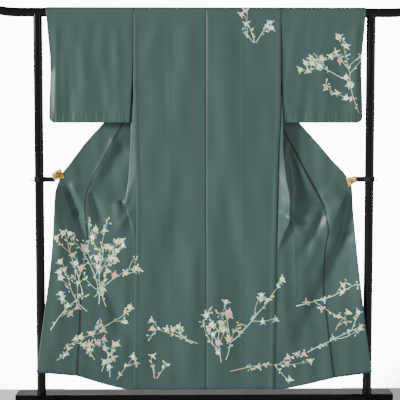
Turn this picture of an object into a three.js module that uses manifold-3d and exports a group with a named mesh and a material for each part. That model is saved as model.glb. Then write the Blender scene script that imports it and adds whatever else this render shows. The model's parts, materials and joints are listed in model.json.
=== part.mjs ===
// A woman's silk visiting kimono shown from the back on a black display stand.
// Both sleeves are threaded on the stand's top bar, the back hangs flat below it, and the two fronts
// are swung out sideways and held at their collar tips by clips tied to the uprights.
// Millimetres, +Z up. The back of the kimono faces -Y. The origin is on the floor under the middle.
import * as THREE from "three";
import Module from "manifold-3d";

const wasm = await Module();
wasm.setup();

// ---- driving dimensions -------------------------------------------------------------------------

const CLOTH = 1.6; // outer silk and its backing, as one wall
const COLLAR_CLOTH = 3; // the collar is folded double over a stiffener
const SEAM_GAP = 0.3;

const BASE = { length: 1620, depth: 94, height: 60, front: -19 };
const FOOT = { x: 680, width: 124, reach: 250, height: 54, toe: 18, bevel: 12 };
const TUBE_R = 19;
const UPRIGHT_X = 700;
const BAR_Z = 1684;
const BAR_END = { straight: 780, bendRadius: 400, bend: 0.38 };

const CENTRE_X = 6; // the kimono hangs a little off the stand's middle
const DRAPE_R = 21.2; // middle of the cloth over the bar
const QUARTER = (DRAPE_R * Math.PI) / 2;

const BACK_LENGTH = 1597; // bar centre to back hem
const NECK_HALF = 84; // half of the neck opening, along the bar
const NECK_PAST_TOP = 14; // the neckline lies this far behind the top of the bar
const SLEEVE_DROP = 461;
const WRIST_OPENING = 230;
const SLEEVE_CORNER_R = 26;

// ---- tables --------------------------------------------------------------------------------------
// Each body side: x is outward from the centre back seam, drop is below the bar's centre.
// seam is the side seam, pleat the depth of the fold hidden behind the back, roll how far that fold
// stands out past the seam, okumi the seam to the overlap panel, edge the collar seam and front edge.

const ROW_KEYS = ["row", "seamX", "seamDrop", "roll", "pleat", "okumiX", "okumiDrop", "edgeX", "edgeDrop"];

const LEFT_ROWS = table(ROW_KEYS, [
  [0, 303, 0, 0, 219, 84, 0, 84, 0],
  [120, 305, 120, 0, 190, 152, 101, 154, 99],
  [230, 306, 230, 3, 165, 215, 192, 219, 189],
  [400, 305, 400, 14, 120, 294, 344, 322, 322],
  [582, 300, 582, 26, 73, 379, 505, 435, 461],
  [700, 298, 700, 36, 42, 433, 612, 514, 549],
  [800, 297, 800, 48, 20, 478, 698, 572, 628],
  [870, 296, 870, 30, 4, 500, 752, 614, 684],
  [940, 297, 936, 8, 0, 510, 824, 638, 760],
  [1030, 299, 1021, 0, 0, 505, 916, 644, 858],
  [1110, 302, 1096, 0, 0, 501, 997, 649, 946],
  [1235, 307, 1214, 0, 0, 527, 1125, 662, 1082],
  [1400, 310, 1371, 0, 0, 535, 1294, 687, 1262],
  [1640, 312, 1597, 0, 0, 550, 1539, 724, 1523],
]);

const RIGHT_ROWS = table(ROW_KEYS, [
  [0, 312, 0, 0, 226, 86, 0, 86, 0],
  [120, 314, 120, 0, 204, 118, 112, 120, 110],
  [230, 314, 230, 3, 187, 180, 203, 183, 200],
  [400, 312, 400, 14, 150, 258, 353, 285, 329],
  [582, 305, 582, 26, 102, 343, 514, 400, 464],
  [700, 302, 700, 42, 70, 399, 618, 478, 552],
  [800, 300, 800, 57, 44, 445, 706, 540, 624],
  [870, 299, 870, 58, 22, 478, 768, 594, 684],
  [940, 298, 939, 34, 5, 506, 832, 620, 742],
  [1030, 296, 1024, 8, 0, 519, 925, 628, 844],
  [1110, 295, 1099, 0, 0, 507, 1007, 636, 933],
  [1235, 293, 1217, 0, 0, 502, 1135, 649, 1074],
  [1400, 292, 1372, 0, 0, 518, 1304, 671, 1259],
  [1640, 290, 1597, 0, 0, 548, 1551, 711, 1528],
]);

// How far behind the bar's centre plane each line of the front hangs, the same on both sides.
const DEPTH_ROWS = table(["row", "seam", "inner", "layer", "okumi", "edge"], [
  [0, 21.2, 21.2, 0, 21.2, 21.2],
  [120, 14, 20, 6, 27, 28],
  [230, 7, 16, 7, 25, 26],
  [400, -16, 10, 8, 20, 21],
  [582, -17, 4, 8, 13, 12],
  [700, -17, -1, 8, 7, 4],
  [800, -17, -7, 7, 1, -3],
  [870, -17, -13, 3, -4, -7],
  [940, -17.5, -17, 0, -9, -12],
  [1030, -17.5, -18, 0, -13, -16],
  [1110, -17.5, -18, 0, -16, -19],
  [1235, -17.5, -18, 0, -20, -24],
  [1400, -17.5, -18, 0, -23, -27],
  [1640, -17.5, -18, 0, -24, -27],
]);

// Side edge of the back: the same outward x as the side seam, listed down the whole drop.
const BACK_EDGE = {
  left: table(["drop", "x"], [
    [-22, 303], [200, 306], [450, 304], [580, 300], [790, 296], [1000, 298], [1170, 306], [1600, 312],
  ]),
  right: table(["drop", "x"], [
    [-22, 312], [200, 314], [450, 311], [580, 305], [790, 300], [960, 297], [1215, 293], [1600, 290],
  ]),
};

// Edges of each sleeve. It is sewn to the body down to the underarm and falls away from it below.
const SLEEVE_OUTER = table(["drop", "x"], [
  [-22, 669], [60, 664], [130, 658], [202, 653], [285, 655], [380, 659], [461, 661],
]);
const SLEEVE_INNER = {
  left: table(["drop", "x"], [[-22, 304.2], [202, 307.2], [285, 309], [330, 313], [461, 322]]),
  right: table(["drop", "x"], [[-22, 313.2], [202, 315.2], [285, 317], [330, 320], [461, 326]]),
};

// Soft folds: a line from (x0, drop0) to (x1, drop1), its half-width at each end, and its height
// towards the viewer (a trough is negative).
const FOLD_KEYS = ["x0", "drop0", "x1", "drop1", "width0", "width1", "height0", "height1"];

const LEFT_FOLDS = table(FOLD_KEYS, [
  [614, 700, 550, 900, 14, 26, -17, -13],
  [550, 900, 515, 1200, 26, 42, -11, -4],
  [602, 706, 516, 915, 12, 24, 11, 8],
  [634, 730, 620, 1040, 13, 22, 7, 5],
  [400, 600, 350, 800, 38, 34, -9, -6],
  [388, 800, 376, 900, 14, 18, 9, 5],
  [418, 780, 386, 970, 18, 26, -8, -4],
  [480, 800, 410, 940, 18, 24, 6, 4],
  [450, 1120, 340, 1360, 30, 44, -6, -4],
  [590, 1080, 640, 1440, 30, 40, 5, 4],
]);

const RIGHT_FOLDS = table(FOLD_KEYS, [
  [612, 712, 540, 1000, 14, 26, -19, -15],
  [540, 1000, 350, 1410, 28, 46, -11, -4],
  [596, 720, 524, 940, 13, 22, 12, 8],
  [360, 590, 400, 800, 34, 32, -9, -7],
  [316, 838, 402, 950, 9, 12, 8, 4],
  [380, 862, 408, 935, 18, 20, -10, -5],
  [484, 790, 396, 965, 15, 20, 9, 6],
  [494, 840, 424, 1000, 15, 24, -11, -6],
  [470, 960, 400, 1120, 20, 30, 5, 3],
  [640, 900, 660, 1300, 20, 34, 4, 3],
]);

// The back's broad, shallow waves, mirrored nowhere: x here is the part's own x.
const BACK_FOLDS = table(FOLD_KEYS, [
  [-190, -10, -255, 260, 24, 40, 5, 2],
  [-60, 60, -170, 900, 40, 60, 4, 3],
  [-110, 700, -215, 1560, 34, 60, -5, -5],
  [70, 40, 150, 1000, 40, 60, 4, 3],
  [90, 760, 200, 1560, 30, 56, -5, -5],
  [30, 900, 60, 1590, 30, 40, 4, 5],
  [-40, 1000, -70, 1590, 30, 40, 4, 4],
]);

// ---- colours -------------------------------------------------------------------------------------

const silk = new THREE.MeshStandardMaterial({ color: 0x4f6f68, roughness: 0.55, metalness: 0 });
const lacquer = new THREE.MeshStandardMaterial({ color: 0x0b0b0d, roughness: 0.25, metalness: 0 });
const baseBlack = new THREE.MeshStandardMaterial({ color: 0x17171a, roughness: 0.5, metalness: 0 });
const strapBlack = new THREE.MeshStandardMaterial({ color: 0x0a0a10, roughness: 0.8, metalness: 0 });
const gold = new THREE.MeshStandardMaterial({ color: 0xc59a3c, roughness: 0.25, metalness: 1 });

// ---- small tools ---------------------------------------------------------------------------------

// Rows of numbers as objects with named columns.
function table(keys, rows) {
  return rows.map((row) => Object.fromEntries(keys.map((key, i) => [key, row[i]])));
}

const clamp01 = (t) => Math.min(1, Math.max(0, t));
const mix = (a, b, t) => a + (b - a) * t;
const smooth = (t) => clamp01(t) ** 2 * (3 - 2 * clamp01(t));

// The column `key` of a table at `at`, on a curve that never overshoots its rows.
function look(rows, by, key, at) {
  const n = rows.length;
  if (at <= rows[0][by]) return rows[0][key];
  if (at >= rows[n - 1][by]) return rows[n - 1][key];
  const i = rows.findIndex((r) => r[by] > at) - 1;
  const step = (k) => rows[k + 1][by] - rows[k][by];
  const slope = (k) => (rows[k + 1][key] - rows[k][key]) / step(k);
  const tangent = (k) => {
    if (k === 0) return slope(0);
    if (k === n - 1) return slope(n - 2);
    const [a, b] = [slope(k - 1), slope(k)];
    return a * b <= 0 ? 0 : (2 * a * b) / (a + b);
  };
  const h = step(i);
  const t = (at - rows[i][by]) / h;
  return (
    rows[i][key] * (2 * t ** 3 - 3 * t ** 2 + 1) +
    rows[i + 1][key] * (3 * t ** 2 - 2 * t ** 3) +
    tangent(i) * h * (t ** 3 - 2 * t ** 2 + t) +
    tangent(i + 1) * h * (t ** 3 - t ** 2)
  );
}

// Height of all folds at a place on a panel.
function foldHeight(folds, x, drop) {
  let height = 0;
  for (const f of folds) {
    const [ax, ay] = [f.x1 - f.x0, f.drop1 - f.drop0];
    const length2 = ax * ax + ay * ay;
    const t = ((x - f.x0) * ax + (drop - f.drop0) * ay) / length2;
    if (t < -0.15 || t > 1.15) continue;
    const off = Math.abs((x - f.x0) * ay - (drop - f.drop0) * ax) / Math.sqrt(length2);
    const width = mix(f.width0, f.width1, clamp01(t));
    const along = smooth((t + 0.15) / 0.2) * smooth((1.15 - t) / 0.35);
    height += mix(f.height0, f.height1, clamp01(t)) * along * Math.exp(-((off / width) ** 2));
  }
  return height;
}

// Cloth past the top of the bar: s is measured along it, negative on the back.
function overBar(s) {
  if (Math.abs(s) < QUARTER) {
    return { y: DRAPE_R * Math.sin(s / DRAPE_R), drop: -DRAPE_R * Math.cos(s / DRAPE_R) };
  }
  return { y: Math.sign(s) * DRAPE_R, drop: Math.abs(s) - QUARTER };
}

// A point at a share of the length of a polyline, its corners rounded by averaging nearby points.
function alongPolyline(points, share, rounding) {
  const lengths = points.slice(1).map((p, i) => p.distanceTo(points[i]));
  const total = lengths.reduce((a, b) => a + b, 0);
  const at = (distance) => {
    let left = Math.min(total, Math.max(0, distance));
    for (let i = 0; i < lengths.length; i++) {
      if (left <= lengths[i] || i === lengths.length - 1) {
        return new THREE.Vector3().lerpVectors(points[i], points[i + 1], lengths[i] ? left / lengths[i] : 0);
      }
      left -= lengths[i];
    }
  };
  const centre = share * total;
  const reach = Math.min(rounding, centre, total - centre);
  const sum = new THREE.Vector3();
  const samples = [-1, -0.5, 0, 0.5, 1];
  samples.forEach((k) => sum.add(at(centre + k * reach)));
  return sum.divideScalar(samples.length);
}

// A closed wall of the given thickness on a grid of points. Cells that `keep` refuses are left out,
// and `ring` joins the last column to the first.
function wall(grid, thickness, { keep = () => true, ring = false } = {}) {
  const rows = grid.length;
  const cols = grid[0].length;
  const spans = ring ? cols : cols - 1;
  const column = (j) => (ring ? (j + cols) % cols : Math.min(cols - 1, Math.max(0, j)));
  const cell = (i, j) => {
    if (i < 0 || i >= rows - 1) return false;
    if (!ring && (j < 0 || j >= spans)) return false;
    return keep(i, column(j));
  };
  const position = [];
  const front = [];
  const back = [];
  for (let i = 0; i < rows; i++) {
    front.push([]);
    back.push([]);
    for (let j = 0; j < cols; j++) {
      // one-sided where the neighbouring cells are left out
      const down = cell(i, j) || cell(i, j - 1) ? Math.min(rows - 1, i + 1) : i;
      const up = cell(i - 1, j) || cell(i - 1, j - 1) ? Math.max(0, i - 1) : i;
      const right = cell(i, j) || cell(i - 1, j) ? column(j + 1) : j;
      const left = cell(i, j - 1) || cell(i - 1, j - 1) ? column(j - 1) : j;
      const alongRows = grid[down][j].clone().sub(grid[up][j]);
      const alongCols = grid[i][right].clone().sub(grid[i][left]);
      const normal = alongRows.cross(alongCols).normalize().multiplyScalar(thickness / 2);
      front[i].push(position.push(grid[i][j].clone().add(normal)) - 1);
      back[i].push(position.push(grid[i][j].clone().sub(normal)) - 1);
    }
  }
  const index = [];
  const quad = (a, b, c, d) => index.push(a, b, c, a, c, d);
  for (let i = 0; i < rows - 1; i++) {
    for (let j = 0; j < spans; j++) {
      if (!cell(i, j)) continue;
      const k = column(j + 1);
      quad(front[i][j], front[i + 1][j], front[i + 1][k], front[i][k]);
      quad(back[i][j], back[i][k], back[i + 1][k], back[i + 1][j]);
      if (!cell(i - 1, j)) quad(front[i][j], front[i][k], back[i][k], back[i][j]);
      if (!cell(i + 1, j)) quad(front[i + 1][k], front[i + 1][j], back[i + 1][j], back[i + 1][k]);
      if (!cell(i, j - 1)) quad(front[i + 1][j], front[i][j], back[i][j], back[i + 1][j]);
      if (!cell(i, j + 1)) quad(front[i][k], front[i + 1][k], back[i + 1][k], back[i][k]);
    }
  }
  return geometryOf(position, index);
}

// A geometry facing out, whichever way its triangles were listed.
function geometryOf(position, index) {
  let volume = 0;
  for (let i = 0; i < index.length; i += 3) {
    const [a, b, c] = [0, 1, 2].map((k) => position[index[i + k]]);
    volume += a.dot(b.clone().cross(c));
  }
  if (volume < 0) index.reverse();
  const used = [...new Set(index)];
  const renumber = new Map(used.map((v, i) => [v, i]));
  const flat = used.flatMap((v) => position[v].toArray());
  return new THREE.BufferGeometry()
    .setAttribute("position", new THREE.Float32BufferAttribute(flat, 3))
    .setIndex(index.map((v) => renumber.get(v)));
}

const group = new THREE.Group();

function add(name, geometry, material, place = () => {}) {
  const mesh = new THREE.Mesh(geometry, material);
  mesh.name = name;
  place(mesh);
  group.add(mesh);
  return mesh;
}

// manifold-3d solids, for the few cuts.
function solidOf(geometry, matrix) {
  const g = (geometry.index ? geometry.toNonIndexed() : geometry.clone()).applyMatrix4(matrix);
  const seen = new Map();
  const vertices = [];
  const triangles = [];
  const p = g.getAttribute("position");
  for (let i = 0; i < p.count; i++) {
    const xyz = [p.getX(i), p.getY(i), p.getZ(i)];
    const key = xyz.map((v) => Math.round(v * 1e4)).join();
    if (!seen.has(key)) {
      seen.set(key, vertices.length / 3);
      vertices.push(...xyz);
    }
    triangles.push(seen.get(key));
  }
  return new wasm.Manifold(
    new wasm.Mesh({
      numProp: 3,
      vertProperties: new Float32Array(vertices),
      triVerts: new Uint32Array(triangles),
    }),
  );
}

function geometryFrom(solid) {
  const mesh = solid.getMesh();
  return new THREE.BufferGeometry()
    .setAttribute("position", new THREE.BufferAttribute(Float32Array.from(mesh.vertProperties), 3))
    .setIndex(Array.from(mesh.triVerts));
}

const alongX = new THREE.Matrix4().makeRotationZ(Math.PI / 2);
const alongZ = new THREE.Matrix4().makeRotationX(Math.PI / 2);

function placed(matrix, x, y, z) {
  return new THREE.Matrix4().makeTranslation(x, y, z).multiply(matrix);
}

// ---- the stand -----------------------------------------------------------------------------------

const BAR_SIDES = 28;

// A ring of points round the bar where its centre line leans by `angle`.
function barRing(x, z, angle, radius = TUBE_R) {
  return Array.from({ length: BAR_SIDES }, (_, j) => {
    const turn = (2 * Math.PI * j) / BAR_SIDES;
    const up = radius * Math.cos(turn);
    const height = BAR_Z + z + up * Math.cos(angle);
    return new THREE.Vector3(x - up * Math.sin(angle), radius * Math.sin(turn), height);
  });
}

function topBar() {
  return loft([-1, 1].map((end) => barRing(end * BAR_END.straight, 0, 0)));
}

// The end of the bar, curving up, with its rim eased.
function barTip(out) {
  const { straight, bendRadius, bend } = BAR_END;
  const steps = 6;
  const rings = Array.from({ length: steps + 1 }, (_, k) => {
    const angle = (bend * k) / steps;
    const x = straight + SEAM_GAP + bendRadius * Math.sin(angle);
    return barRing(out * x, bendRadius * (1 - Math.cos(angle)), out * angle);
  });
  const past = 4;
  const x = straight + SEAM_GAP + bendRadius * Math.sin(bend) + past * Math.cos(bend);
  const z = bendRadius * (1 - Math.cos(bend)) + past * Math.sin(bend);
  rings.push(barRing(out * x, z, out * bend, TUBE_R - past));
  return loft(rings);
}

// A closed solid through rings of equal count, its two ends capped flat.
function loft(rings) {
  const count = rings[0].length;
  const position = rings.flat();
  const first = position.push(rings[0].reduce((a, p) => a.clone().add(p)).divideScalar(count)) - 1;
  const last = position.push(rings.at(-1).reduce((a, p) => a.clone().add(p)).divideScalar(count)) - 1;
  const index = [];
  const at = (i, j) => i * count + (j % count);
  for (let j = 0; j < count; j++) {
    for (let i = 0; i < rings.length - 1; i++) {
      index.push(at(i, j), at(i, j + 1), at(i + 1, j + 1), at(i, j), at(i + 1, j + 1), at(i + 1, j));
    }
    index.push(first, at(0, j + 1), at(0, j));
    index.push(last, at(rings.length - 1, j), at(rings.length - 1, j + 1));
  }
  return geometryOf(position, index);
}

function upright() {
  const height = BAR_Z - BASE.height - SEAM_GAP;
  const tube = solidOf(
    new THREE.CylinderGeometry(TUBE_R, TUBE_R, height, 28),
    placed(alongZ, 0, 0, BASE.height + SEAM_GAP + height / 2),
  );
  const saddle = solidOf(
    new THREE.CylinderGeometry(TUBE_R + SEAM_GAP, TUBE_R + SEAM_GAP, 4 * TUBE_R, 56),
    placed(alongX, 0, 0, BAR_Z),
  );
  return geometryFrom(tube.subtract(saddle));
}

function baseBeam() {
  const { length, depth, height, front } = BASE;
  const edge = 3;
  const outline = [
    [0, 0],
    [depth, 0],
    [depth, height - edge],
    [depth - edge, height],
    [edge, height],
    [0, height - edge],
  ];
  const ring = (x) => outline.map(([y, z]) => new THREE.Vector3(x, front + y, z));
  return loft([-length / 2, length / 2].map(ring));
}

// One half of a cross foot: it leaves the beam's face and slopes down to a rounded toe.
function foot(start, end) {
  const half = FOOT.width / 2;
  const steps = [0, 0.55, 0.86, 0.97, 1];
  const rings = steps.map((t) => {
    const y = mix(start, end, t);
    const top = mix(FOOT.height, FOOT.toe, smooth(t)) - (t === 1 ? FOOT.bevel / 2 : 0);
    const side = half - (t === 1 ? 10 : t > 0.95 ? 3 : 0);
    return [
      [-side, 0],
      [side, 0],
      [side, top - FOOT.bevel],
      [side - FOOT.bevel * 0.4, top - FOOT.bevel * 0.4],
      [side - FOOT.bevel * 1.6, top],
      [-side + FOOT.bevel * 1.6, top],
      [-side + FOOT.bevel * 0.4, top - FOOT.bevel * 0.4],
      [-side, top - FOOT.bevel],
    ].map(([x, z]) => new THREE.Vector3(x, y, z));
  });
  return loft(rings);
}

// ---- the ties and clips --------------------------------------------------------------------------

const TIE_Z = BAR_Z - 700;
const TIE = { height: 22, thickness: 3.2, end: 632, runY: -3.7 };
const CLIP = { y: -6, near: -1.4, far: 7.6, plate: 1.6, jaw: 46, tail: 26, length: 42, flat: 30, grip: 66 };

// A strap round an upright, with its flat run to the clip and a short free end outside.
function tie(side) {
  const ring = (radius, height) =>
    solidOf(
      new THREE.CylinderGeometry(radius, radius, height, 40),
      placed(alongZ, side * UPRIGHT_X, 0, TIE_Z),
    );
  const inner = TUBE_R + 0.5;
  const outer = inner + TIE.thickness;
  const box = (w, d, h, x, y, z) =>
    solidOf(new THREE.BoxGeometry(w, d, h), new THREE.Matrix4().makeTranslation(x, y, z));
  const runLength = UPRIGHT_X - TIE.end;
  const runX = side * (TIE.end + runLength / 2);
  const run = box(runLength, 2 * TIE.thickness, TIE.height, runX, TIE.runY, TIE_Z);
  const tail = box(20, TIE.thickness, 5, side * (UPRIGHT_X + outer + 6), 0, TIE_Z - 3);
  return geometryFrom(ring(outer, TIE.height).add(run).add(tail).subtract(ring(inner, 2 * TIE.height)));
}

// One toothed plate of a clip, from its tail to its jaw, in its own plane.
function clipPlate() {
  const { jaw, tail, length } = CLIP;
  const teeth = 7;
  const outline = new THREE.Shape().moveTo(length, -tail / 2);
  outline.lineTo(length, tail / 2).lineTo(length * 0.55, tail / 2).lineTo(0, jaw / 2);
  for (let k = 0; k < teeth; k++) {
    const y = mix(jaw / 2, -jaw / 2, (k + 0.5) / teeth);
    const next = mix(jaw / 2, -jaw / 2, (k + 1) / teeth);
    outline.lineTo(-3, y).lineTo(0, next);
  }
  outline.lineTo(length * 0.55, -tail / 2).closePath();
  return new THREE.ExtrudeGeometry(outline, { depth: CLIP.plate, bevelEnabled: false });
}

// ---- the body ------------------------------------------------------------------------------------

const FRONT_ROUNDING = 9;
const SIDE_TUCK = 4; // the front's side edge lies this far inside the back's
const HEM_SAG = 10; // the front hem curves this far below a straight line

// A side of the garment: its tables, and which way outward is.
const SIDES = {
  left: {
    out: -1,
    rows: LEFT_ROWS,
    folds: LEFT_FOLDS,
    edge: BACK_EDGE.left,
    sleeve: SLEEVE_INNER.left,
    clip: { x: 609, drop: 674, lean: 0.4 },
  },
  right: {
    out: 1,
    rows: RIGHT_ROWS,
    folds: RIGHT_FOLDS,
    edge: BACK_EDGE.right,
    sleeve: SLEEVE_INNER.right,
    clip: { x: 600, drop: 712, lean: -0.35 },
  },
};

const toPart = (side, x, y, drop) => new THREE.Vector3(CENTRE_X + side.out * x, y, BAR_Z - drop);

// A point of the front's free surface, with the folds pushed towards the viewer.
function frontPoint(side, x, y, drop, share) {
  const height = foldHeight(side.folds, x, drop) * smooth(share / 0.25);
  const free = smooth((Math.hypot(x - side.clip.x, drop - side.clip.drop) - CLIP.flat) / CLIP.grip);
  return toPart(side, x, mix(CLIP.y, y - height, free), drop);
}

// The back: across is 0 at the centre seam and 1 at the side edge.
function backPoint(side, across, s) {
  const { y, drop } = overBar(s);
  const x = across * look(side.edge, "drop", "x", drop);
  const below = smooth(drop / 120);
  const wave = foldHeight(BACK_FOLDS, CENTRE_X + side.out * x, drop) * below * smooth((1 - across) / 0.08);
  return toPart(side, x, y - wave, drop);
}

// The front: share is 0 at the side seam and 1 at the okumi or neck edge; row is its drop at the seam.
function frontStrip(side, share, row) {
  const get = (key) => look(side.rows, "row", key, row);
  const depth = (key) => look(DEPTH_ROWS, "row", key, row);
  const seamX = get("seamX");
  const seamDrop = get("seamDrop");
  const roll = get("roll");
  const creaseX = seamX + roll - get("pleat");
  const inner = depth("inner");
  const sag = HEM_SAG * smooth((row - 1300) / 340) * Math.sin(Math.PI * share ** 0.6);
  const points = [
    new THREE.Vector3(seamX - SIDE_TUCK, depth("seam") + 1.5, seamDrop),
    new THREE.Vector3(seamX + roll + 0.5, mix(depth("seam"), inner, 0.25), seamDrop),
    new THREE.Vector3(creaseX, inner, seamDrop),
    new THREE.Vector3(creaseX + 0.5, inner + depth("layer"), seamDrop),
    new THREE.Vector3(get("okumiX"), depth("okumi"), get("okumiDrop")),
  ];
  const p = alongPolyline(points, share, FRONT_ROUNDING);
  const free = smooth((row - 560) / 200);
  return frontPoint(side, p.x, p.y, p.z + sag, share * free);
}

// The overlap panel: across is 0 at the seam to the front and 1 at the free edge.
function okumiPoint(side, across, row) {
  const get = (key) => look(side.rows, "row", key, row);
  const depth = (key) => look(DEPTH_ROWS, "row", key, row);
  const x = mix(get("okumiX"), get("edgeX"), across);
  const drop = mix(get("okumiDrop"), get("edgeDrop"), across);
  const y = mix(depth("okumi"), depth("edge"), across);
  return frontPoint(side, x, y, drop, smooth((row - 560) / 200));
}

const range = (n, from, to) => Array.from({ length: n + 1 }, (_, i) => mix(from, to, i / n));

// Rows of the front, closer where it folds; the okumi uses those below its tip.
const FRONT_ROW_LIST = [
  ...range(5, 30, 230),
  ...range(6, 275, 545),
  ...range(11, 582, 1030),
  ...range(4, 1085, 1320),
  ...range(3, 1400, 1640),
];
const OKUMI_TIP = 245;

const FRONT_COLS = 11;
const BACK_COLS = 3;

function bodyPanel(side) {
  const neckShare = 1 - NECK_HALF / look(side.edge, "drop", "x", 0);
  const backRows = range(13, -(BACK_LENGTH + QUARTER), -(QUARTER + 60));
  const barRows = range(8, -QUARTER, QUARTER);
  const neckRow = backRows.length + barRows.findIndex((s) => s >= NECK_PAST_TOP);
  const shares = [...range(FRONT_COLS, 0, 1).slice(0, -1), ...range(BACK_COLS, 1, 1 / neckShare)];
  const seam = SEAM_GAP / 2;
  const grid = [];
  for (const s of [...backRows, ...barRows]) {
    grid.push(
      shares.map((share) => {
        const across = Math.max(0, 1 - share * neckShare);
        const p = backPoint(side, across, s);
        p.x += side.out * (across < 0.01 ? seam : 0);
        return p;
      }),
    );
  }
  for (const row of FRONT_ROW_LIST) {
    grid.push(shares.map((share) => frontStrip(side, Math.min(share, 1 - SEAM_GAP / 400), row)));
  }
  const keep = (i, j) => i < neckRow || j < FRONT_COLS;
  return wall(grid, CLOTH, { keep });
}

function okumi(side) {
  const rows = FRONT_ROW_LIST.filter((row) => row > OKUMI_TIP);
  const cols = range(4, 0, 1);
  const grid = rows.map((row) =>
    cols.map((across) => {
      const p = okumiPoint(side, across, row);
      if (across === 0) p.x += side.out * SEAM_GAP * 2;
      return p;
    }),
  );
  return wall(grid, CLOTH);
}

// ---- sleeves -------------------------------------------------------------------------------------

// How deep the back and front layers hang at a drop below the bar.
const sleeveBackY = (drop) => -DRAPE_R + 7 * clamp01(drop / SLEEVE_DROP);
const sleeveFrontY = (drop) => DRAPE_R - 28 * clamp01(drop / SLEEVE_DROP);

// A loop over the bar, down the back, round the bottom and up the front, at `across` of the width.
function sleeveLoop(side, across) {
  const bottomR = (sleeveFrontY(SLEEVE_DROP) - sleeveBackY(SLEEVE_DROP)) / 2;
  const closing = smooth((across - 0.93) / 0.07);
  const inner = (drop) => look(side.sleeve, "drop", "x", drop);
  const outer = (drop) => look(SLEEVE_OUTER, "drop", "x", drop);
  const fromOuter = (1 - across) * (outer(SLEEVE_DROP) - inner(SLEEVE_DROP));
  const corner = Math.max(0, SLEEVE_CORNER_R - fromOuter);
  const rise = SLEEVE_CORNER_R - Math.sqrt(SLEEVE_CORNER_R ** 2 - corner ** 2);
  const lowest = SLEEVE_DROP - bottomR - rise;
  const drops = [60, 130, 200, 250, 330, 400].map((d) => Math.min(d, lowest));
  const point = (y, drop) => {
    const x = mix(inner(drop), outer(drop), across);
    const sewn = closing * smooth((drop - WRIST_OPENING + 20) / 40);
    const middle = (sleeveBackY(drop) + sleeveFrontY(drop)) / 2;
    return toPart(side, x, mix(y, middle + Math.sign(y - middle) * 1.2, sewn), drop);
  };
  const bar = range(8, -QUARTER, QUARTER).map((s) => overBar(s)).map(({ y, drop }) => point(y, drop));
  const back = drops.map((d) => point(sleeveBackY(d), d));
  const front = [...drops].reverse().map((d) => point(sleeveFrontY(d), d));
  const middle = (sleeveBackY(SLEEVE_DROP) + sleeveFrontY(SLEEVE_DROP)) / 2;
  const bottom = range(4, -1, 1).map((t) => {
    const turn = (t * Math.PI) / 2;
    return point(middle + bottomR * Math.sin(turn), lowest + bottomR * Math.cos(turn));
  });
  return [...bar, ...front.reverse(), ...bottom.reverse(), ...back.reverse()];
}

function sleeve(side) {
  const columns = [0, 0.2, 0.4, 0.6, 0.78, 0.9, 0.95, 0.98, 1];
  return wall(columns.map((across) => sleeveLoop(side, across)), CLOTH, { ring: true });
}

// ---- collar --------------------------------------------------------------------------------------

const COLLAR = { neckWidth: 55, tipWidth: 74, top: 4, firstRow: 200, lastRow: 868, behind: 3.6 };

// A point of a front at a distance inward from its free edge, over the okumi and on to the body.
function fromEdge(side, row, distance) {
  const get = (key) => look(side.rows, "row", key, row);
  const okumiWidth = Math.hypot(get("edgeX") - get("okumiX"), get("edgeDrop") - get("okumiDrop"));
  if (distance <= okumiWidth) return okumiPoint(side, 1 - distance / okumiWidth, row);
  return frontStrip(side, 1 - (distance - okumiWidth) / 240, row);
}

// Rows across the collar from the left tip, round the back of the neck, to the right tip.
function collarRows() {
  const across = [0, 0.5, 1];
  const half = (side) =>
    range(12, COLLAR.lastRow, COLLAR.firstRow).map((row) => {
      const width = mix(COLLAR.neckWidth, COLLAR.tipWidth, smooth(row / COLLAR.lastRow));
      const slack = 4 * smooth((500 - row) / 300);
      return across.map((t) => {
        const p = fromEdge(side, row, 1 + t * width);
        p.y += COLLAR.behind + slack;
        return p;
      });
    });
  const neck = [-1, -0.8, -0.55, -0.2, 0.2, 0.55, 0.8, 1].map((t) => {
    const lean = 0.9 * t ** 3;
    return across.map((a) =>
      new THREE.Vector3(
        CENTRE_X + t * 128 - Math.sin(lean) * COLLAR.neckWidth * a,
        mix(27, 34, Math.abs(t)),
        BAR_Z - COLLAR.top - 72 * Math.abs(t) ** 2.6 - Math.cos(lean) * COLLAR.neckWidth * a,
      ),
    );
  });
  return [...half(SIDES.left), ...neck, ...half(SIDES.right).reverse()];
}

// ---- assembly ------------------------------------------------------------------------------------

add("stand_bar", topBar(), lacquer);
add("stand_base", baseBeam(), baseBlack);
for (const [name, side] of Object.entries(SIDES)) {
  add(`stand_tip_${name}`, barTip(side.out), lacquer);
  add(`stand_upright_${name}`, upright(), lacquer, (m) => m.position.setX(side.out * UPRIGHT_X));
  const footAt = (m) => m.position.setX(side.out * FOOT.x);
  add(`stand_foot_near_${name}`, foot(BASE.front - SEAM_GAP, -FOOT.reach), baseBlack, footAt);
  add(`stand_foot_far_${name}`, foot(BASE.front + BASE.depth + SEAM_GAP, FOOT.reach), baseBlack, footAt);
  add(`tie_${name}`, tie(side.out), strapBlack);
  for (const plate of ["near", "far"]) {
    const turn = side.out < 0 ? Math.PI - side.clip.lean : side.clip.lean;
    const tilted = clipPlate().rotateX(Math.PI / 2).rotateY(turn);
    const y = CLIP.y + CLIP[plate];
    const x = CENTRE_X + side.out * side.clip.x;
    add(`clip_${plate}_${name}`, tilted.translate(x, y, BAR_Z - side.clip.drop), gold);
  }
  add(`body_${name}`, bodyPanel(side), silk);
  add(`okumi_${name}`, okumi(side), silk);
  add(`sleeve_${name}`, sleeve(side), silk);
}
add("collar", wall(collarRows(), COLLAR_CLOTH), silk);

export default group;
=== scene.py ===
"""The looks of a woman's silk kimono on a black display stand, shown from its back.

The stand, ties and clips are CAD parts with better materials. Each cloth piece is a thin shell
on the form of its CAD solid, finer and with softer, smaller folds. A flower pattern lies on the
cloth as thin painted shapes. Metres, +Z up; the kimono's back faces -Y.
"""

import json
import math
import random

import bpy
import numpy as np
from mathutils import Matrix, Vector
from mathutils.bvhtree import BVHTree

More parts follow.
